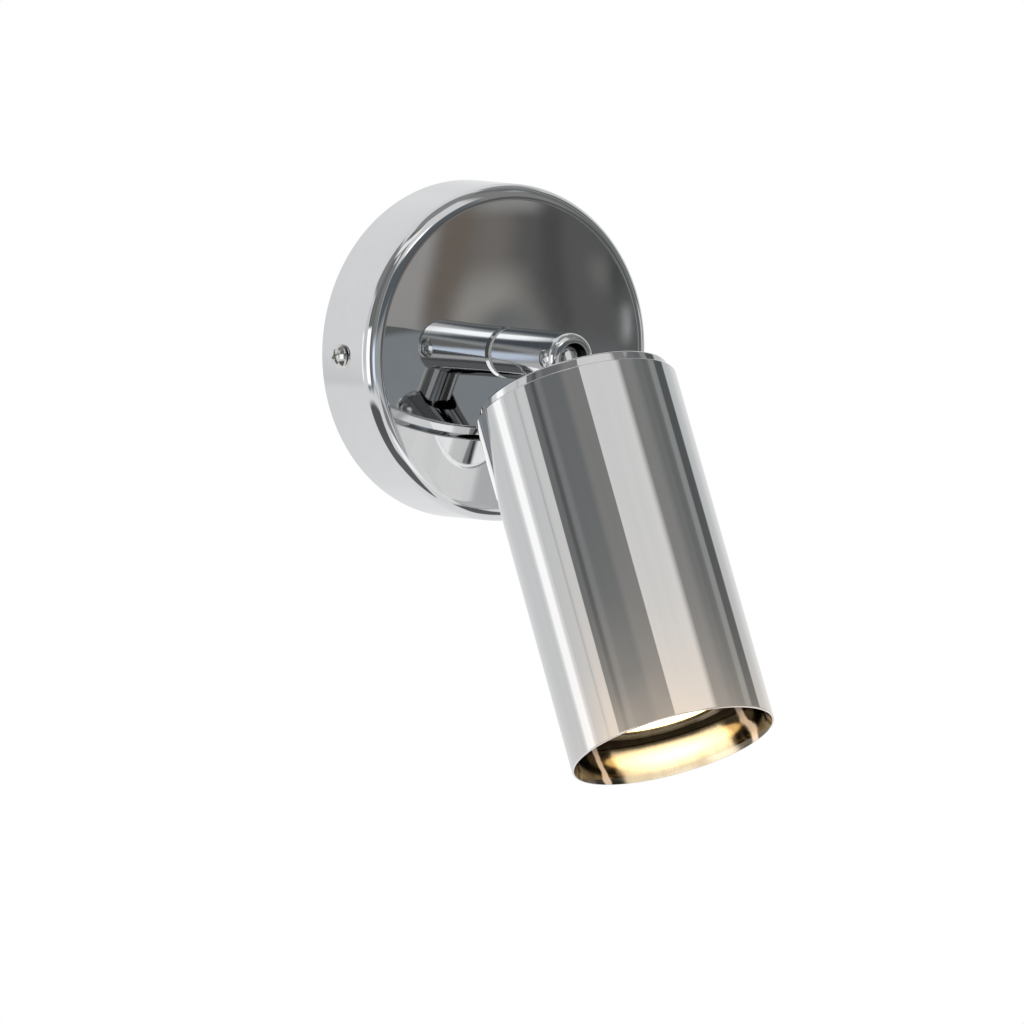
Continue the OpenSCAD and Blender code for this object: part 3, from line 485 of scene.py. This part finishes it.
lean = math.degrees(math.atan(2 * dish_depth / (face_radius - seat_radius)))
dish_out = np.linspace(face_radius - edge_round * math.sin(math.radians(lean)), nipple_hole, 72)
front = np.stack([dish_out, dish(dish_out) - 0.01], 1)
back = np.stack([dish_out, dish(dish_out) - sheet_metal], 1)[::-4]
outline = np.vstack([
    [[canopy_radius, 0], [canopy_radius - side_draft / 2, 10]],
    arc(face_radius, canopy_height - edge_round, edge_round, 0, 90 + lean, 48), front,
    back, arc(face_radius, canopy_height - edge_round, edge_round - sheet_metal, 90, 0, 12),
    [[canopy_radius - sheet_metal, 0]]])
points, faces = turned(outline, from_wall, 480, loop=True)
new_piece("canopy_shell", points, faces, [chrome], "base", ["canopy"])

# Side screws: steel pan heads with a cross recess, nickel plated, one in each side of the
# canopy. They hold it on the bracket's ears.
side_screw_out = 10

def cross_recess(head, top, depth, width, turn):
    """Depth of a cross-shaped recess: two crossed bars whose walls ease in over a tenth of
    a millimetre, deepest in the middle, taken off the points that lie on the dome."""
    turn = math.radians(turn)

    def relief(points):
        x = points[:, 0] * math.cos(turn) + points[:, 1] * math.sin(turn)
        y = points[:, 1] * math.cos(turn) - points[:, 0] * math.sin(turn)
        reach = head * 0.3
        bars = [np.clip((width / 2 - abs(p)) / 0.1 + 0.5, 0, 1)
                * np.clip((reach - abs(q)) / 0.25 + 0.5, 0, 1) for p, q in ((x, y), (y, x))]
        way = np.clip(1 - np.hypot(x, y) / (reach * 1.6), 0, 1)
        return np.where(points[:, 2] > top * 0.34, np.maximum(*bars) * depth * (0.5 + 0.5 * way), 0)
    return relief


def pan_head(name, finish, head, top, shank, length, width, turn, place, body, stands_for):
    """Screw: a shank, a short straight edge and a domed head, turned as one outline."""
    edge = top * 0.35
    rise = top - edge
    dome = ((head / 2) ** 2 + rise ** 2) / (2 * rise)
    sweep = math.degrees(math.asin(head / 2 / dome))
    outline = np.vstack([
        [[0, -length], [shank / 2 - 0.3, -length], [shank / 2, 0.3 - length], [shank / 2, 0],
         [head / 2 - 0.1, 0], [head / 2, 0.1]],
        arc(0, top - dome, dome, 90 - sweep, 90, 64)])
    outline[-1, 0] = 0
    points, faces = turned(outline, place, 160, relief=cross_recess(head, top, top * 0.6, width, turn))
    return new_piece(name, points, faces, [finish], body, stands_for, crease=50)


def sideways(start, out, flip):
    """Turns a screw that stands up to point along +x, or along -x when flipped."""
    def place(points):
        x, y, z = points.T
        side = -1 if flip else 1
        return np.stack([side * (start + z), y - out, -side * x], 1) * 0.001
    return place


nickel = wiped_finish("nickel_plate", (200, 0.08, 0.2), (0.52, 0.51, 0.49), (0.66, 0.655, 0.64),
                      0.00002, metallic=1.0)
for side, turn in (("left", 20), ("right", 65)):
    pan_head(f"side_screw_{side}", nickel, 7, 2.2, 4, 9, 1.0, turn,
             sideways(canopy_radius, side_screw_out, side == "left"), "base", ["side_screws"])

# Arm: a turned and plated bar with a rounded end, screwed on the hollow nipple. Its end is
# bored as a socket for the neck's ball and open below, so that the head can swing.
arm_start, arm_end, arm_radius, arm_round = 24.3, 57.5, 7.5, 2.6
socket_radius, thread, washer_seat, seat_depth = 4.6, 3.1, 7.5, 0.8
lead_bore, nipple_bore, nipple_grip, screw_seat = 3, 5.05, 8, 2.55


def box_piece(low, high):
    """Corners and faces of a box between two corners."""
    corners = np.array([[x, y, z] for x in (low[0], high[0]) for y in (low[1], high[1])
                        for z in (low[2], high[2])], float)
    return corners, [[0, 1, 3, 2], [4, 6, 7, 5], [0, 4, 5, 1], [2, 3, 7, 6], [0, 2, 6, 4], [1, 5, 7, 3]]


def rod(radius, start, stop, ball=False):
    """Outline of a plain rod, its low end round if it is a ball end."""
    low = arc(0, start, radius, -90, 0, 24) if ball else [[0, start], [radius, start]]
    outline = np.vstack([low, [[radius, stop], [0, stop]]])
    outline[0, 0] = 0
    return outline


def cut_away(piece, cutters, crease=30):
    """Takes solids, each of points and faces, out of a piece, and keeps its smooth faces."""
    for index, (points, faces) in enumerate(cutters):
        mesh = bpy.data.meshes.new("cutter")
        mesh.from_pydata(np.asarray(points).tolist(), [], [list(f) for f in faces])
        cutter = bpy.data.objects.new("cutter", mesh)
        bpy.context.scene.collection.objects.link(cutter)
        cut = piece.modifiers.new(f"cut_{index}", "BOOLEAN")
        cut.operation, cut.object, cut.solver = "DIFFERENCE", cutter, "EXACT"
    evaluated = piece.evaluated_get(bpy.context.evaluated_depsgraph_get())
    finished = bpy.data.meshes.new_from_object(evaluated)
    piece.modifiers.clear()
    piece.data = finished
    finished.polygons.foreach_set("use_smooth", np.ones(len(finished.polygons), bool))
    finished.set_sharp_from_angle(angle=math.radians(crease))
    for cutter in [o for o in bpy.data.objects if o.name.startswith("cutter")]:
        bpy.data.objects.remove(cutter)


def outward(points, faces):
    """The same solid with its faces turned outwards."""
    a, b, c = points[np.array([f[:3] for f in faces]).T]
    middle = points.mean(0)
    inward = np.einsum("ij,ij->i", (a + b + c) / 3 - middle, np.cross(b - a, c - a)).sum() < 0
    return points, [f[::-1] for f in faces] if inward else faces


def at_pivot(turn):
    """Places an upright solid on the pivot, pointing out, down or to one side."""
    def place(points):
        x, y, z = points.T
        turned_to = {"out": (x, -z, y), "down": (x, y, -z), "side": (z, y, -x)}[turn]
        return (np.stack(turned_to, 1) + [0, -pivot_out, 0]) * 0.001
    return place


turned_chrome, tree, shader = new_finish("turned_chrome", metallic=1.0)
rough, marks = wiped(tree, 60, 0.04, 0.11)
tree.links.new(rough, shader["Roughness"])
tree.links.new(tone(tree, marks, (0.60, 0.605, 0.61), (0.645, 0.645, 0.645)), shader["Base Color"])
rings = spots(tree, 1300, 2, ((0, 0, 0), (0.02, 1, 0.02)))
tree.links.new(bump(tree, rings, 0.000012, 0.5), shader["Normal"])

length = arm_end - arm_start
outline = np.vstack([[[0, 0], [arm_radius - 1.0, 0], [arm_radius, 1.2]],
                     [[arm_radius, h] for h in np.linspace(2, length - arm_round - 0.5, 12)],
                     arc(arm_radius - arm_round, length - arm_round, arm_round, 0, 90, 32), [[0, length]]])
points, faces = turned(outline, lambda p: from_wall(p + [0, 0, arm_start]), 256)
arm = new_piece("arm_bar", points, faces, [turned_chrome], "arm", ["arm"])
ahead = 6.0
cutters = [
    turned(rod(lead_bore, arm_start - 1, pivot_out), from_wall, 64),
    turned(rod(nipple_bore, arm_start - 1, arm_start + nipple_grip), from_wall, 64),
    turned(rod(socket_radius, 0, ahead, ball=True), at_pivot("out"), 128),
    turned(rod(socket_radius, 0, 15), at_pivot("down"), 128),
    turned(rod(washer_seat / 2, -socket_radius, socket_radius), at_pivot("side"), 96),
    turned(rod(thread / 2, -9, 9), at_pivot("side"), 48),
    turned(rod(screw_seat, arm_radius - seat_depth, 10), at_pivot("side"), 96),
    turned(rod(screw_seat, -10, seat_depth - arm_radius), at_pivot("side"), 96),
]
corners, sides = box_piece((-socket_radius, -ahead, -15), (socket_radius, 0, 0))
cutters.append(((corners + [0, -pivot_out, 0]) * 0.001, sides))
cut_away(arm, [outward(*c) for c in cutters])

# Washers, sleeve and spring of the arm: black nylon rings that let it turn, a braided
# glass-fibre sleeve round the leads and a thin cone of spring steel.
nylon = wiped_finish("black_nylon", (250, 0.35, 0.55), (0.012, 0.012, 0.013), (0.03, 0.03, 0.031),
                     0.00003)
set_finish(nylon, "friction_washer", "pivot_washers")

clear_nylon = wiped_finish("clear_nylon", (250, 0.2, 0.35), (0.55, 0.56, 0.56), (0.66, 0.66, 0.65),
                           0.00003)
set_finish(clear_nylon, "front_washer")

braid, tree, shader = new_finish("glass_braid", sheen_weight=0.3)
place = add_node(tree, "ShaderNodeTexCoord").outputs["Object"]
strands = [add_node(tree, "ShaderNodeTexWave", [
    ("Vector", add_node(tree, "ShaderNodeMapping", [
        ("Vector", place), ("Rotation", (0, math.radians(turn), math.radians(turn)))]).outputs[0]),
    ("Scale", 420.0), ("Distortion", 1.0)]).outputs[1] for turn in (45, -45)]
weave = number(tree, "MAXIMUM", *strands)
tree.links.new(tone(tree, weave, (0.52, 0.49, 0.42), (0.82, 0.80, 0.74)), shader["Base Color"])
tree.links.new(between(tree, weave, 0.85, 0.7), shader["Roughness"])
tree.links.new(bump(tree, weave, 0.0001, 0.6), shader["Normal"])
set_finish(braid, "arm_sleeve")

spring = wiped_finish("spring_steel", (120, 0.2, 0.4), (0.16, 0.17, 0.20), (0.30, 0.29, 0.29),
                      0.00003, metallic=1.0)
set_finish(spring, "spring_washer")

# Pivot screws: small plated pan heads, sunk in a seat in each side of the arm. They hold
# the neck between them at the tilt joint.
for side, turn in (("left", 35), ("right", 80)):
    pan_head(f"pivot_screw_{side}", turned_chrome, 4.7, 1.1, 3, 2.0, 0.5, turn,
             sideways(arm_radius - seat_depth, pivot_out, side == "left"), "arm", ["pivot_screws"])

# Neck: a plated bar with a ball end between two flats, slotted for the leads, which goes
# through the cap and is held under it by a nut.
neck_radius, flat_half, flat_end, cap_gap = 4.25, 3.75, 3.9, 10.2
spigot_radius, spigot_end, slot_half, slot_reach = 3.5, 18.7, 0.9, 2.3
outline = np.vstack([arc(0, 0, neck_radius, -90, 0, 32),
                     [[neck_radius, h] for h in np.linspace(0.5, cap_gap, 10)],
                     [[spigot_radius, cap_gap], [spigot_radius, spigot_end], [0, spigot_end]]])
outline[0, 0] = 0
points, faces = turned(outline, hanging, 192)
neck = new_piece("neck_bar", points, faces, [chrome], "head", ["neck"])
cutters = []
for low, high in (((flat_half, -9, -9), (9, 9, flat_end)), ((-9, -9, -9), (-flat_half, 9, flat_end)),
                  ((-slot_half, -slot_reach, -9), (slot_half, slot_reach, cap_gap - 1)),
                  ((-slot_half, -9, -9), (slot_half, 0, slot_reach))):
    corners, sides = box_piece(low, high)
    cutters.append((hanging(corners), sides))
cutters.append(turned(rod(slot_reach, cap_gap - 2, 20), hanging, 64))
cut_away(neck, [outward(*c) for c in cutters])

# Cap: a turned steel plug pressed into the top of the tube and plated, its edge broken by
# a small round.
cap_radius, cap_rise, cap_hole, cap_round, cap_sheet = 28.2, 3.2, 3.6, 0.6, 2.5
skirt_radius, skirt_end, skirt_wall, rim = 28.75, 11.7, 1.8, 13.4
outline = np.vstack([
    [[cap_hole, 0], [16, 0]], arc(cap_radius - cap_round, cap_round, cap_round, -90, 0, 12),
    [[cap_radius, cap_rise], [skirt_radius, cap_rise], [skirt_radius, skirt_end],
     [skirt_radius - skirt_wall, skirt_end], [skirt_radius - skirt_wall, cap_sheet], [cap_hole, cap_sheet]]])
points, faces = turned(outline, lambda p: hanging(p + [0, 0, cap_gap]), 480, loop=True)
new_piece("cap_plug", points, faces, [chrome], "head", ["cap"])

# Tube: the shade, drawn steel tube polished outside and in, with its two edges broken. The
# lamp's glow over the mouth is painted on it as a warm tint, most at the front and left. The
# bore's glow and reflections are painted too, as cream, dark and pale pinkish zones laid
# out across the photograph's line of sight.
tube_radius, bore_radius, tube_length, broken = 30.0, 28.8, 108.5, 0.3
mouth = rim + tube_length
# Painted glow: a warm tint that is strongest at the mouth and fades up the tube. It is stronger at the front
# and left, in soft patches.
glow_paint_group, given, result = new_group("painted_mouth_glow", [
    ("Vector", VECTOR, (0, 0, 0)), ("Mouth", NUMBER, 0.115), ("Fade", NUMBER, 0.02)], [("Painted glow", NUMBER)])


def in_tube(tree, place, stretch=None):
    """Coordinates turned with the tube: across, to the back and up its axis from the pivot.
    With a stretch they keep the lamp's own middle, for a pattern drawn out along the tube."""
    if stretch:
        inputs = [("Vector", place), ("Rotation", (-tilt, 0, 0)), ("Scale", (1, 1, stretch))]
    else:
        inputs = [("Vector", place), ("Rotation", (-tilt, 0, 0)),
                  ("Location", (0, -pivot_out * 0.001, 0))]
    return add_node(tree, "ShaderNodeMapping", inputs, vector_type="TEXTURE").outputs[0]


def drawn_lines(tree, place, stretch, scale):
    """Fine lines along the tube, left by the drawing die: noise drawn out lengthwise."""
    return noise(tree, in_tube(tree, place, stretch), scale, 4.0, 0.65)


axis = add_node(glow_paint_group, "ShaderNodeSeparateXYZ", [(0, in_tube(glow_paint_group, given["Vector"]))]).outputs
down = number(glow_paint_group, "MULTIPLY", axis[2], -1)
down = number(glow_paint_group, "DIVIDE", number(glow_paint_group, "SUBTRACT", down, given["Mouth"]), given["Fade"])
side = remap(glow_paint_group, axis[0], -0.027, 0.01, 1.0, 0.5)
front = remap(glow_paint_group, axis[1], -0.002, -0.012, 0.15, 1.0)
patch = remap(glow_paint_group, noise(glow_paint_group, given["Vector"], 45.0, 2.0), 0.35, 0.65, 0.85, 1.12)
painted_glow = number(glow_paint_group, "MULTIPLY", number(glow_paint_group, "EXPONENT", down),
              number(glow_paint_group, "MULTIPLY", side, front))
glow_paint_group.links.new(number(glow_paint_group, "MULTIPLY", painted_glow, patch), result["Painted glow"])

tube_chrome, tree, shader = new_finish("tube_chrome")
tree.links.new(wiped(tree, 35, 0.012, 0.045)["Roughness"], shader["Roughness"])
place = add_node(tree, "ShaderNodeTexCoord").outputs["Object"]
lines = drawn_lines(tree, place, 60, 260.0)
surface_tone = tone(tree, lines, (0.595, 0.60, 0.605), (0.65, 0.648, 0.645))
painted_glow = add_node(tree, "ShaderNodeGroup", [(0, place)], node_tree=glow_paint_group).outputs[0]
share = number(tree, "MINIMUM", painted_glow, 1.3)
# Painted glow: the warm tint is mixed into the colour, with less metal, where the glow is painted.
tree.links.new(mixed(tree, number(tree, "MINIMUM", painted_glow, 1.0), surface_tone, (0.85, 0.74, 0.63)),
               shader["Base Color"])
tree.links.new(number(tree, "MULTIPLY_ADD", share, -0.27, 1.0), shader["Metallic"])
tree.links.new(bump(tree, lines, 0.000004, 0.5), shader["Normal"])

# Bore: its colour is painted glow and reflection. A cream zone in the middle stands for the lamp's glow, and
# dark brown sides stand for dark reflections. The cream zone is also rougher and less metallic.
bore, tree, shader = new_finish("bore_painted_glow_and_reflections")
sight_across = (29.7, -17.85, 0)  # the photograph's side-to-side direction, from the tube's axis
sight_slope, sight_shift = 8.0, 0.86
glow_zone_edge, glow_zone_end, strip_middle, strip_edge = (0.60, 0.70), (-0.1132, -0.1108), 0.83, (0.022, 0.05)
place = add_node(tree, "ShaderNodeTexCoord").outputs["Object"]
lines = drawn_lines(tree, place, 25, 220.0)
along_tube = in_tube(tree, place)
height = add_node(tree, "ShaderNodeSeparateXYZ", [(0, along_tube)]).outputs[2]
across = add_node(tree, "ShaderNodeVectorMath", [(0, along_tube), (1, sight_across)],
                  operation="DOT_PRODUCT").outputs["Value"]
slanted = number(tree, "ADD", across, number(tree, "MULTIPLY_ADD", height, sight_slope, sight_shift))
# Soft noise makes the edges of the painted zones wavy.
zone_edge_noise = noise(tree, place, 130.0, 2.0)
off_middle = number(tree, "MULTIPLY_ADD", zone_edge_noise, 0.16, number(tree, "ABSOLUTE", slanted))
glow_zone = number(tree, "MULTIPLY", remap(tree, off_middle, *glow_zone_edge, 1.0, 0.0, "SMOOTHSTEP"),
               remap(tree, height, *glow_zone_end, 1.0, 0.0, "SMOOTHSTEP"))
# Painted reflection: a thin pinkish pale strip beside the cream zone, with less metal.
off_strip = number(tree, "ABSOLUTE", number(tree, "ADD", off_middle, -strip_middle))
strip = remap(tree, off_strip, *strip_edge, 1.0, 0.0, "SMOOTHSTEP")
tree.links.new(number(tree, "MULTIPLY_ADD", glow_zone, between(tree, lines, 0.10, 0.22), 0.11),
               shader["Roughness"])
tree.links.new(number(tree, "MULTIPLY_ADD", number(tree, "MAXIMUM", glow_zone, strip), -0.62, 1.0),
               shader["Metallic"])
# Painted shade and glow: dark brown where dark reflections are painted, and cream where the glow is painted.
surface_tone = mixed(tree, glow_zone, tone(tree, lines, (0.13, 0.105, 0.075), (0.20, 0.165, 0.12)),
                tone(tree, lines, (0.80, 0.71, 0.54), (0.90, 0.82, 0.66)))
# Painted reflection: the pinkish pale strip is laid over the painted zones.
tree.links.new(mixed(tree, strip, surface_tone, (0.80, 0.66, 0.56)), shader["Base Color"])
tree.links.new(bump(tree, lines, 0.00003, 0.5), shader["Normal"])
outer = np.vstack([arc(tube_radius - broken, broken, broken, -90, 0, 6),
                   [[tube_radius, h] for h in (0.4, 0.8, *np.linspace(3, tube_length - 3, 24),
                                               tube_length - 0.8, tube_length - 0.4)],
                   arc(tube_radius - broken, tube_length - broken, broken, 0, 90, 6)])
inner = [[bore_radius + 0.65, tube_length], [bore_radius + 0.2, tube_length - 1.2],
         *([bore_radius, h] for h in np.linspace(tube_length - 2.5, 0, 24))]
points, faces = turned(np.vstack([outer, inner]), lambda p: hanging(p + [0, 0, rim]), 512, loop=True)
row = np.arange(len(faces)) // 512
new_piece("shade_tube", points, faces, [tube_chrome, bore], "head", ["tube"],
          finish_of=np.where((row >= len(outer)) & (row < len(outer) + len(inner) - 1), 1, 0))

# Lampholder: an oblong block of unglazed steatite, off-white with a fine sandy grain. It is
# screwed to the holder frame.
ceramic, tree, shader = new_finish("steatite")
rough, marks = wiped(tree, 200, 0.5, 0.7)
tree.links.new(rough, shader["Roughness"])
tree.links.new(tone(tree, marks, (0.72, 0.70, 0.64), (0.82, 0.81, 0.76)), shader["Base Color"])
tree.links.new(bump(tree, spots(tree, 2200, 3), 0.00005, 0.4), shader["Normal"])
set_finish(ceramic, "lampholder")

# Lamp: a moulded body with cooling fins and a grey metal bezel, a light board with
# yellow chips and a frosted front lens, lit.
lamp_front, lamp_length, lamp_radius, lens_radius = mouth - 11.5, 46.8, 25.0, 20.0
lamp_base = lamp_front - lamp_length
fins, fin_top, fin_bottom, core_radius, fin_start = 16, 11.2, 33.5, 14.0, 14.2
base_radius, waist_low, waist_high, lens_seat = 15, 14.04, 40.25, 39.8


def fin_cut(points):
    """Gap between fins: how far a point lies inside one of the evenly spaced slots that
    run between the two fin heights, eased at their sides and ends."""
    angle = np.arctan2(points[:, 1], points[:, 0]) / (2 * np.pi) * fins
    radius = np.hypot(points[:, 0], points[:, 1])
    off = abs(angle - np.floor(angle) - 0.5) * 2 * np.pi / fins * radius
    side = np.clip((1.0 - off) / 0.3 + 0.5, 0, 1)
    top, bottom = points[:, 2] - fin_top, fin_bottom - points[:, 2]
    return side * np.clip(top / 0.4, 0, 1) * np.clip(bottom / 0.4, 0, 1)


def with_fins(points):
    """Draws the slots' points in to the lamp's core radius."""
    radius = np.maximum(np.hypot(points[:, 0], points[:, 1]), 1e-9)
    core = np.minimum(radius, core_radius)
    share = fin_cut(points)[:, None] * (radius > fin_start)[:, None]
    points = points.copy()
    points[:, :2] *= 1 + share * (core / radius - 1)[:, None]
    return hanging(points + [0, 0, lamp_base])


wide = np.linspace(0, 90, 48)
side_line = np.stack([base_radius + (lamp_radius - base_radius) * np.sin(np.radians(wide)),
                      waist_low + (waist_high - waist_low) * (1 - np.cos(np.radians(wide)))], 1)
outline = np.vstack([
    [[0, 0]], arc(base_radius - 2, 2, 2, -90, 0, 8),
    [[base_radius, h] for h in np.linspace(3, 13.5, 20)], side_line,
    [[25, 43]], arc(24.2, 46, 0.8, 0, 90, 8), [[21.5, lamp_length - 0.1]],
    arc(20.6, lamp_length - 0.5, 0.4, 90, 180, 6),
    [[lens_radius, lamp_length - 1.2], [lens_radius, lens_seat], [0, lens_seat]]])
outline[0, 0] = 0
body_white = wiped_finish("lamp_moulding", (150, 0.25, 0.4), (0.76, 0.76, 0.74), (0.83, 0.83, 0.82),
                          0.00003, coat_weight=0.2)
bezel = wiped_finish("lamp_bezel", (100, 0.15, 0.3), (0.10, 0.08, 0.055), (0.20, 0.17, 0.13),
                     0.00003, metallic=1.0)
points, faces = turned(outline, with_fins, 640)
row = np.arange(len(faces)) // 640
rim_row = int(np.argmax(outline[:, 1] > 44)) - 1
new_piece("lamp_body", points, faces, [body_white, bezel], "head", ["lamp_shell"],
          finish_of=np.where((row >= rim_row) & (row < len(outline) - 2), 1, 0), crease=40)

lens_bottom, lens_top = lamp_length - 2.1, lamp_length - 0.85
glow, tree, shader = new_finish("lit_lens", roughness=0.25)
place = add_node(tree, "ShaderNodeTexCoord").outputs["Object"]
cells = add_node(tree, "ShaderNodeTexVoronoi", [("Vector", place), ("Scale", 650.0)]).outputs["Distance"]
middle = hanging([0, 0, lamp_front])
away = add_node(tree, "ShaderNodeVectorMath", [(0, place), (1, middle)], operation="DISTANCE").outputs["Value"]
warm = mixed(tree, remap(tree, away, 0.004, 0.020, 0.0, 1.0), (1.0, 0.93, 0.76), (0.62, 0.43, 0.17))
tree.links.new(warm, shader["Emission Color"])
shader["Emission Strength"].default_value = 6.0
tree.links.new(warm, shader["Base Color"])
tree.links.new(bump(tree, cells, 0.0002, 0.5), shader["Normal"])
outline = np.vstack([[[0, lens_bottom], [lens_radius - 0.05, lens_bottom], [lens_radius - 0.05, lens_top]],
                     [[r, lens_top + 0.3 * (1 - (r / lens_radius) ** 2)] for r in np.linspace(19.9, 0, 24)]])
outline[-1, 0] = 0
points, faces = turned(outline, lambda p: hanging(p + [0, 0, lamp_base]), 192)
new_piece("front_lens", points, faces, [glow], "head", ["lamp_lens"])

chips = wiped_finish("light_board", (200, 0.3, 0.5), (0.80, 0.76, 0.60), (0.86, 0.84, 0.76),
                     0.00003)
set_finish(chips, "lamp_board")

# Floor: a pale round sweep well below the lamp, which keeps the lamp's soft shadow. The
# plating doesn't mirror it and sees the studio's cards instead.
floor_points, floor_faces = turned([[0, -502], [450, -502], [450, -500], [0, -500]],
                                   lambda p: (p + [0, -60, 0]) * 0.001, 128)
mesh = bpy.data.meshes.new("floor")
mesh.from_pydata(floor_points.tolist(), [], floor_faces)
floor = bpy.data.objects.new("floor", mesh)
bpy.context.scene.collection.objects.link(floor)
pale, tree, shader = new_finish("pale_floor", roughness=0.9)
shader["Specular IOR Level"].default_value = 0.0
tree.links.new(tone(tree, spots(tree, 8), (0.985, 0.985, 0.985), (1.0, 1.0, 1.0)), shader["Base Color"])
floor.data.materials.append(pale)
floor.visible_glossy = False

# Camera: a long lens a little above the lamp and to its left, aimed so that the lamp lies
# in the frame as in the photograph.
camera_round, camera_up, camera_away, focal_pixels = 34.009, 4.609, 2500.0, 8525.0
aim = Vector((-3.227, -30.0, -46.333))
round_rad, up_rad = math.radians(camera_round), math.radians(camera_up)
back_way = Vector((-math.sin(round_rad) * math.cos(up_rad), -math.cos(round_rad) * math.cos(up_rad),
                   math.sin(up_rad)))
right_way = Vector((math.cos(round_rad), -math.sin(round_rad), 0))
up_way = back_way.cross(right_way)
stand = (aim + back_way * camera_away) * 0.001
lens = bpy.data.cameras.new("camera")
lens.sensor_width, lens.lens = 36.0, 36.0 * focal_pixels / 1024
lens.clip_start, lens.clip_end = 0.1, 20.0
camera = bpy.data.objects.new("camera", lens)
bpy.context.scene.collection.objects.link(camera)
camera.matrix_world = Matrix((
    (right_way.x, up_way.x, back_way.x, stand.x), (right_way.y, up_way.y, back_way.y, stand.y),
    (right_way.z, up_way.z, back_way.z, stand.z), (0, 0, 0, 1)))
bpy.context.scene.camera = camera
bpy.context.scene.view_settings.view_transform = "Standard"
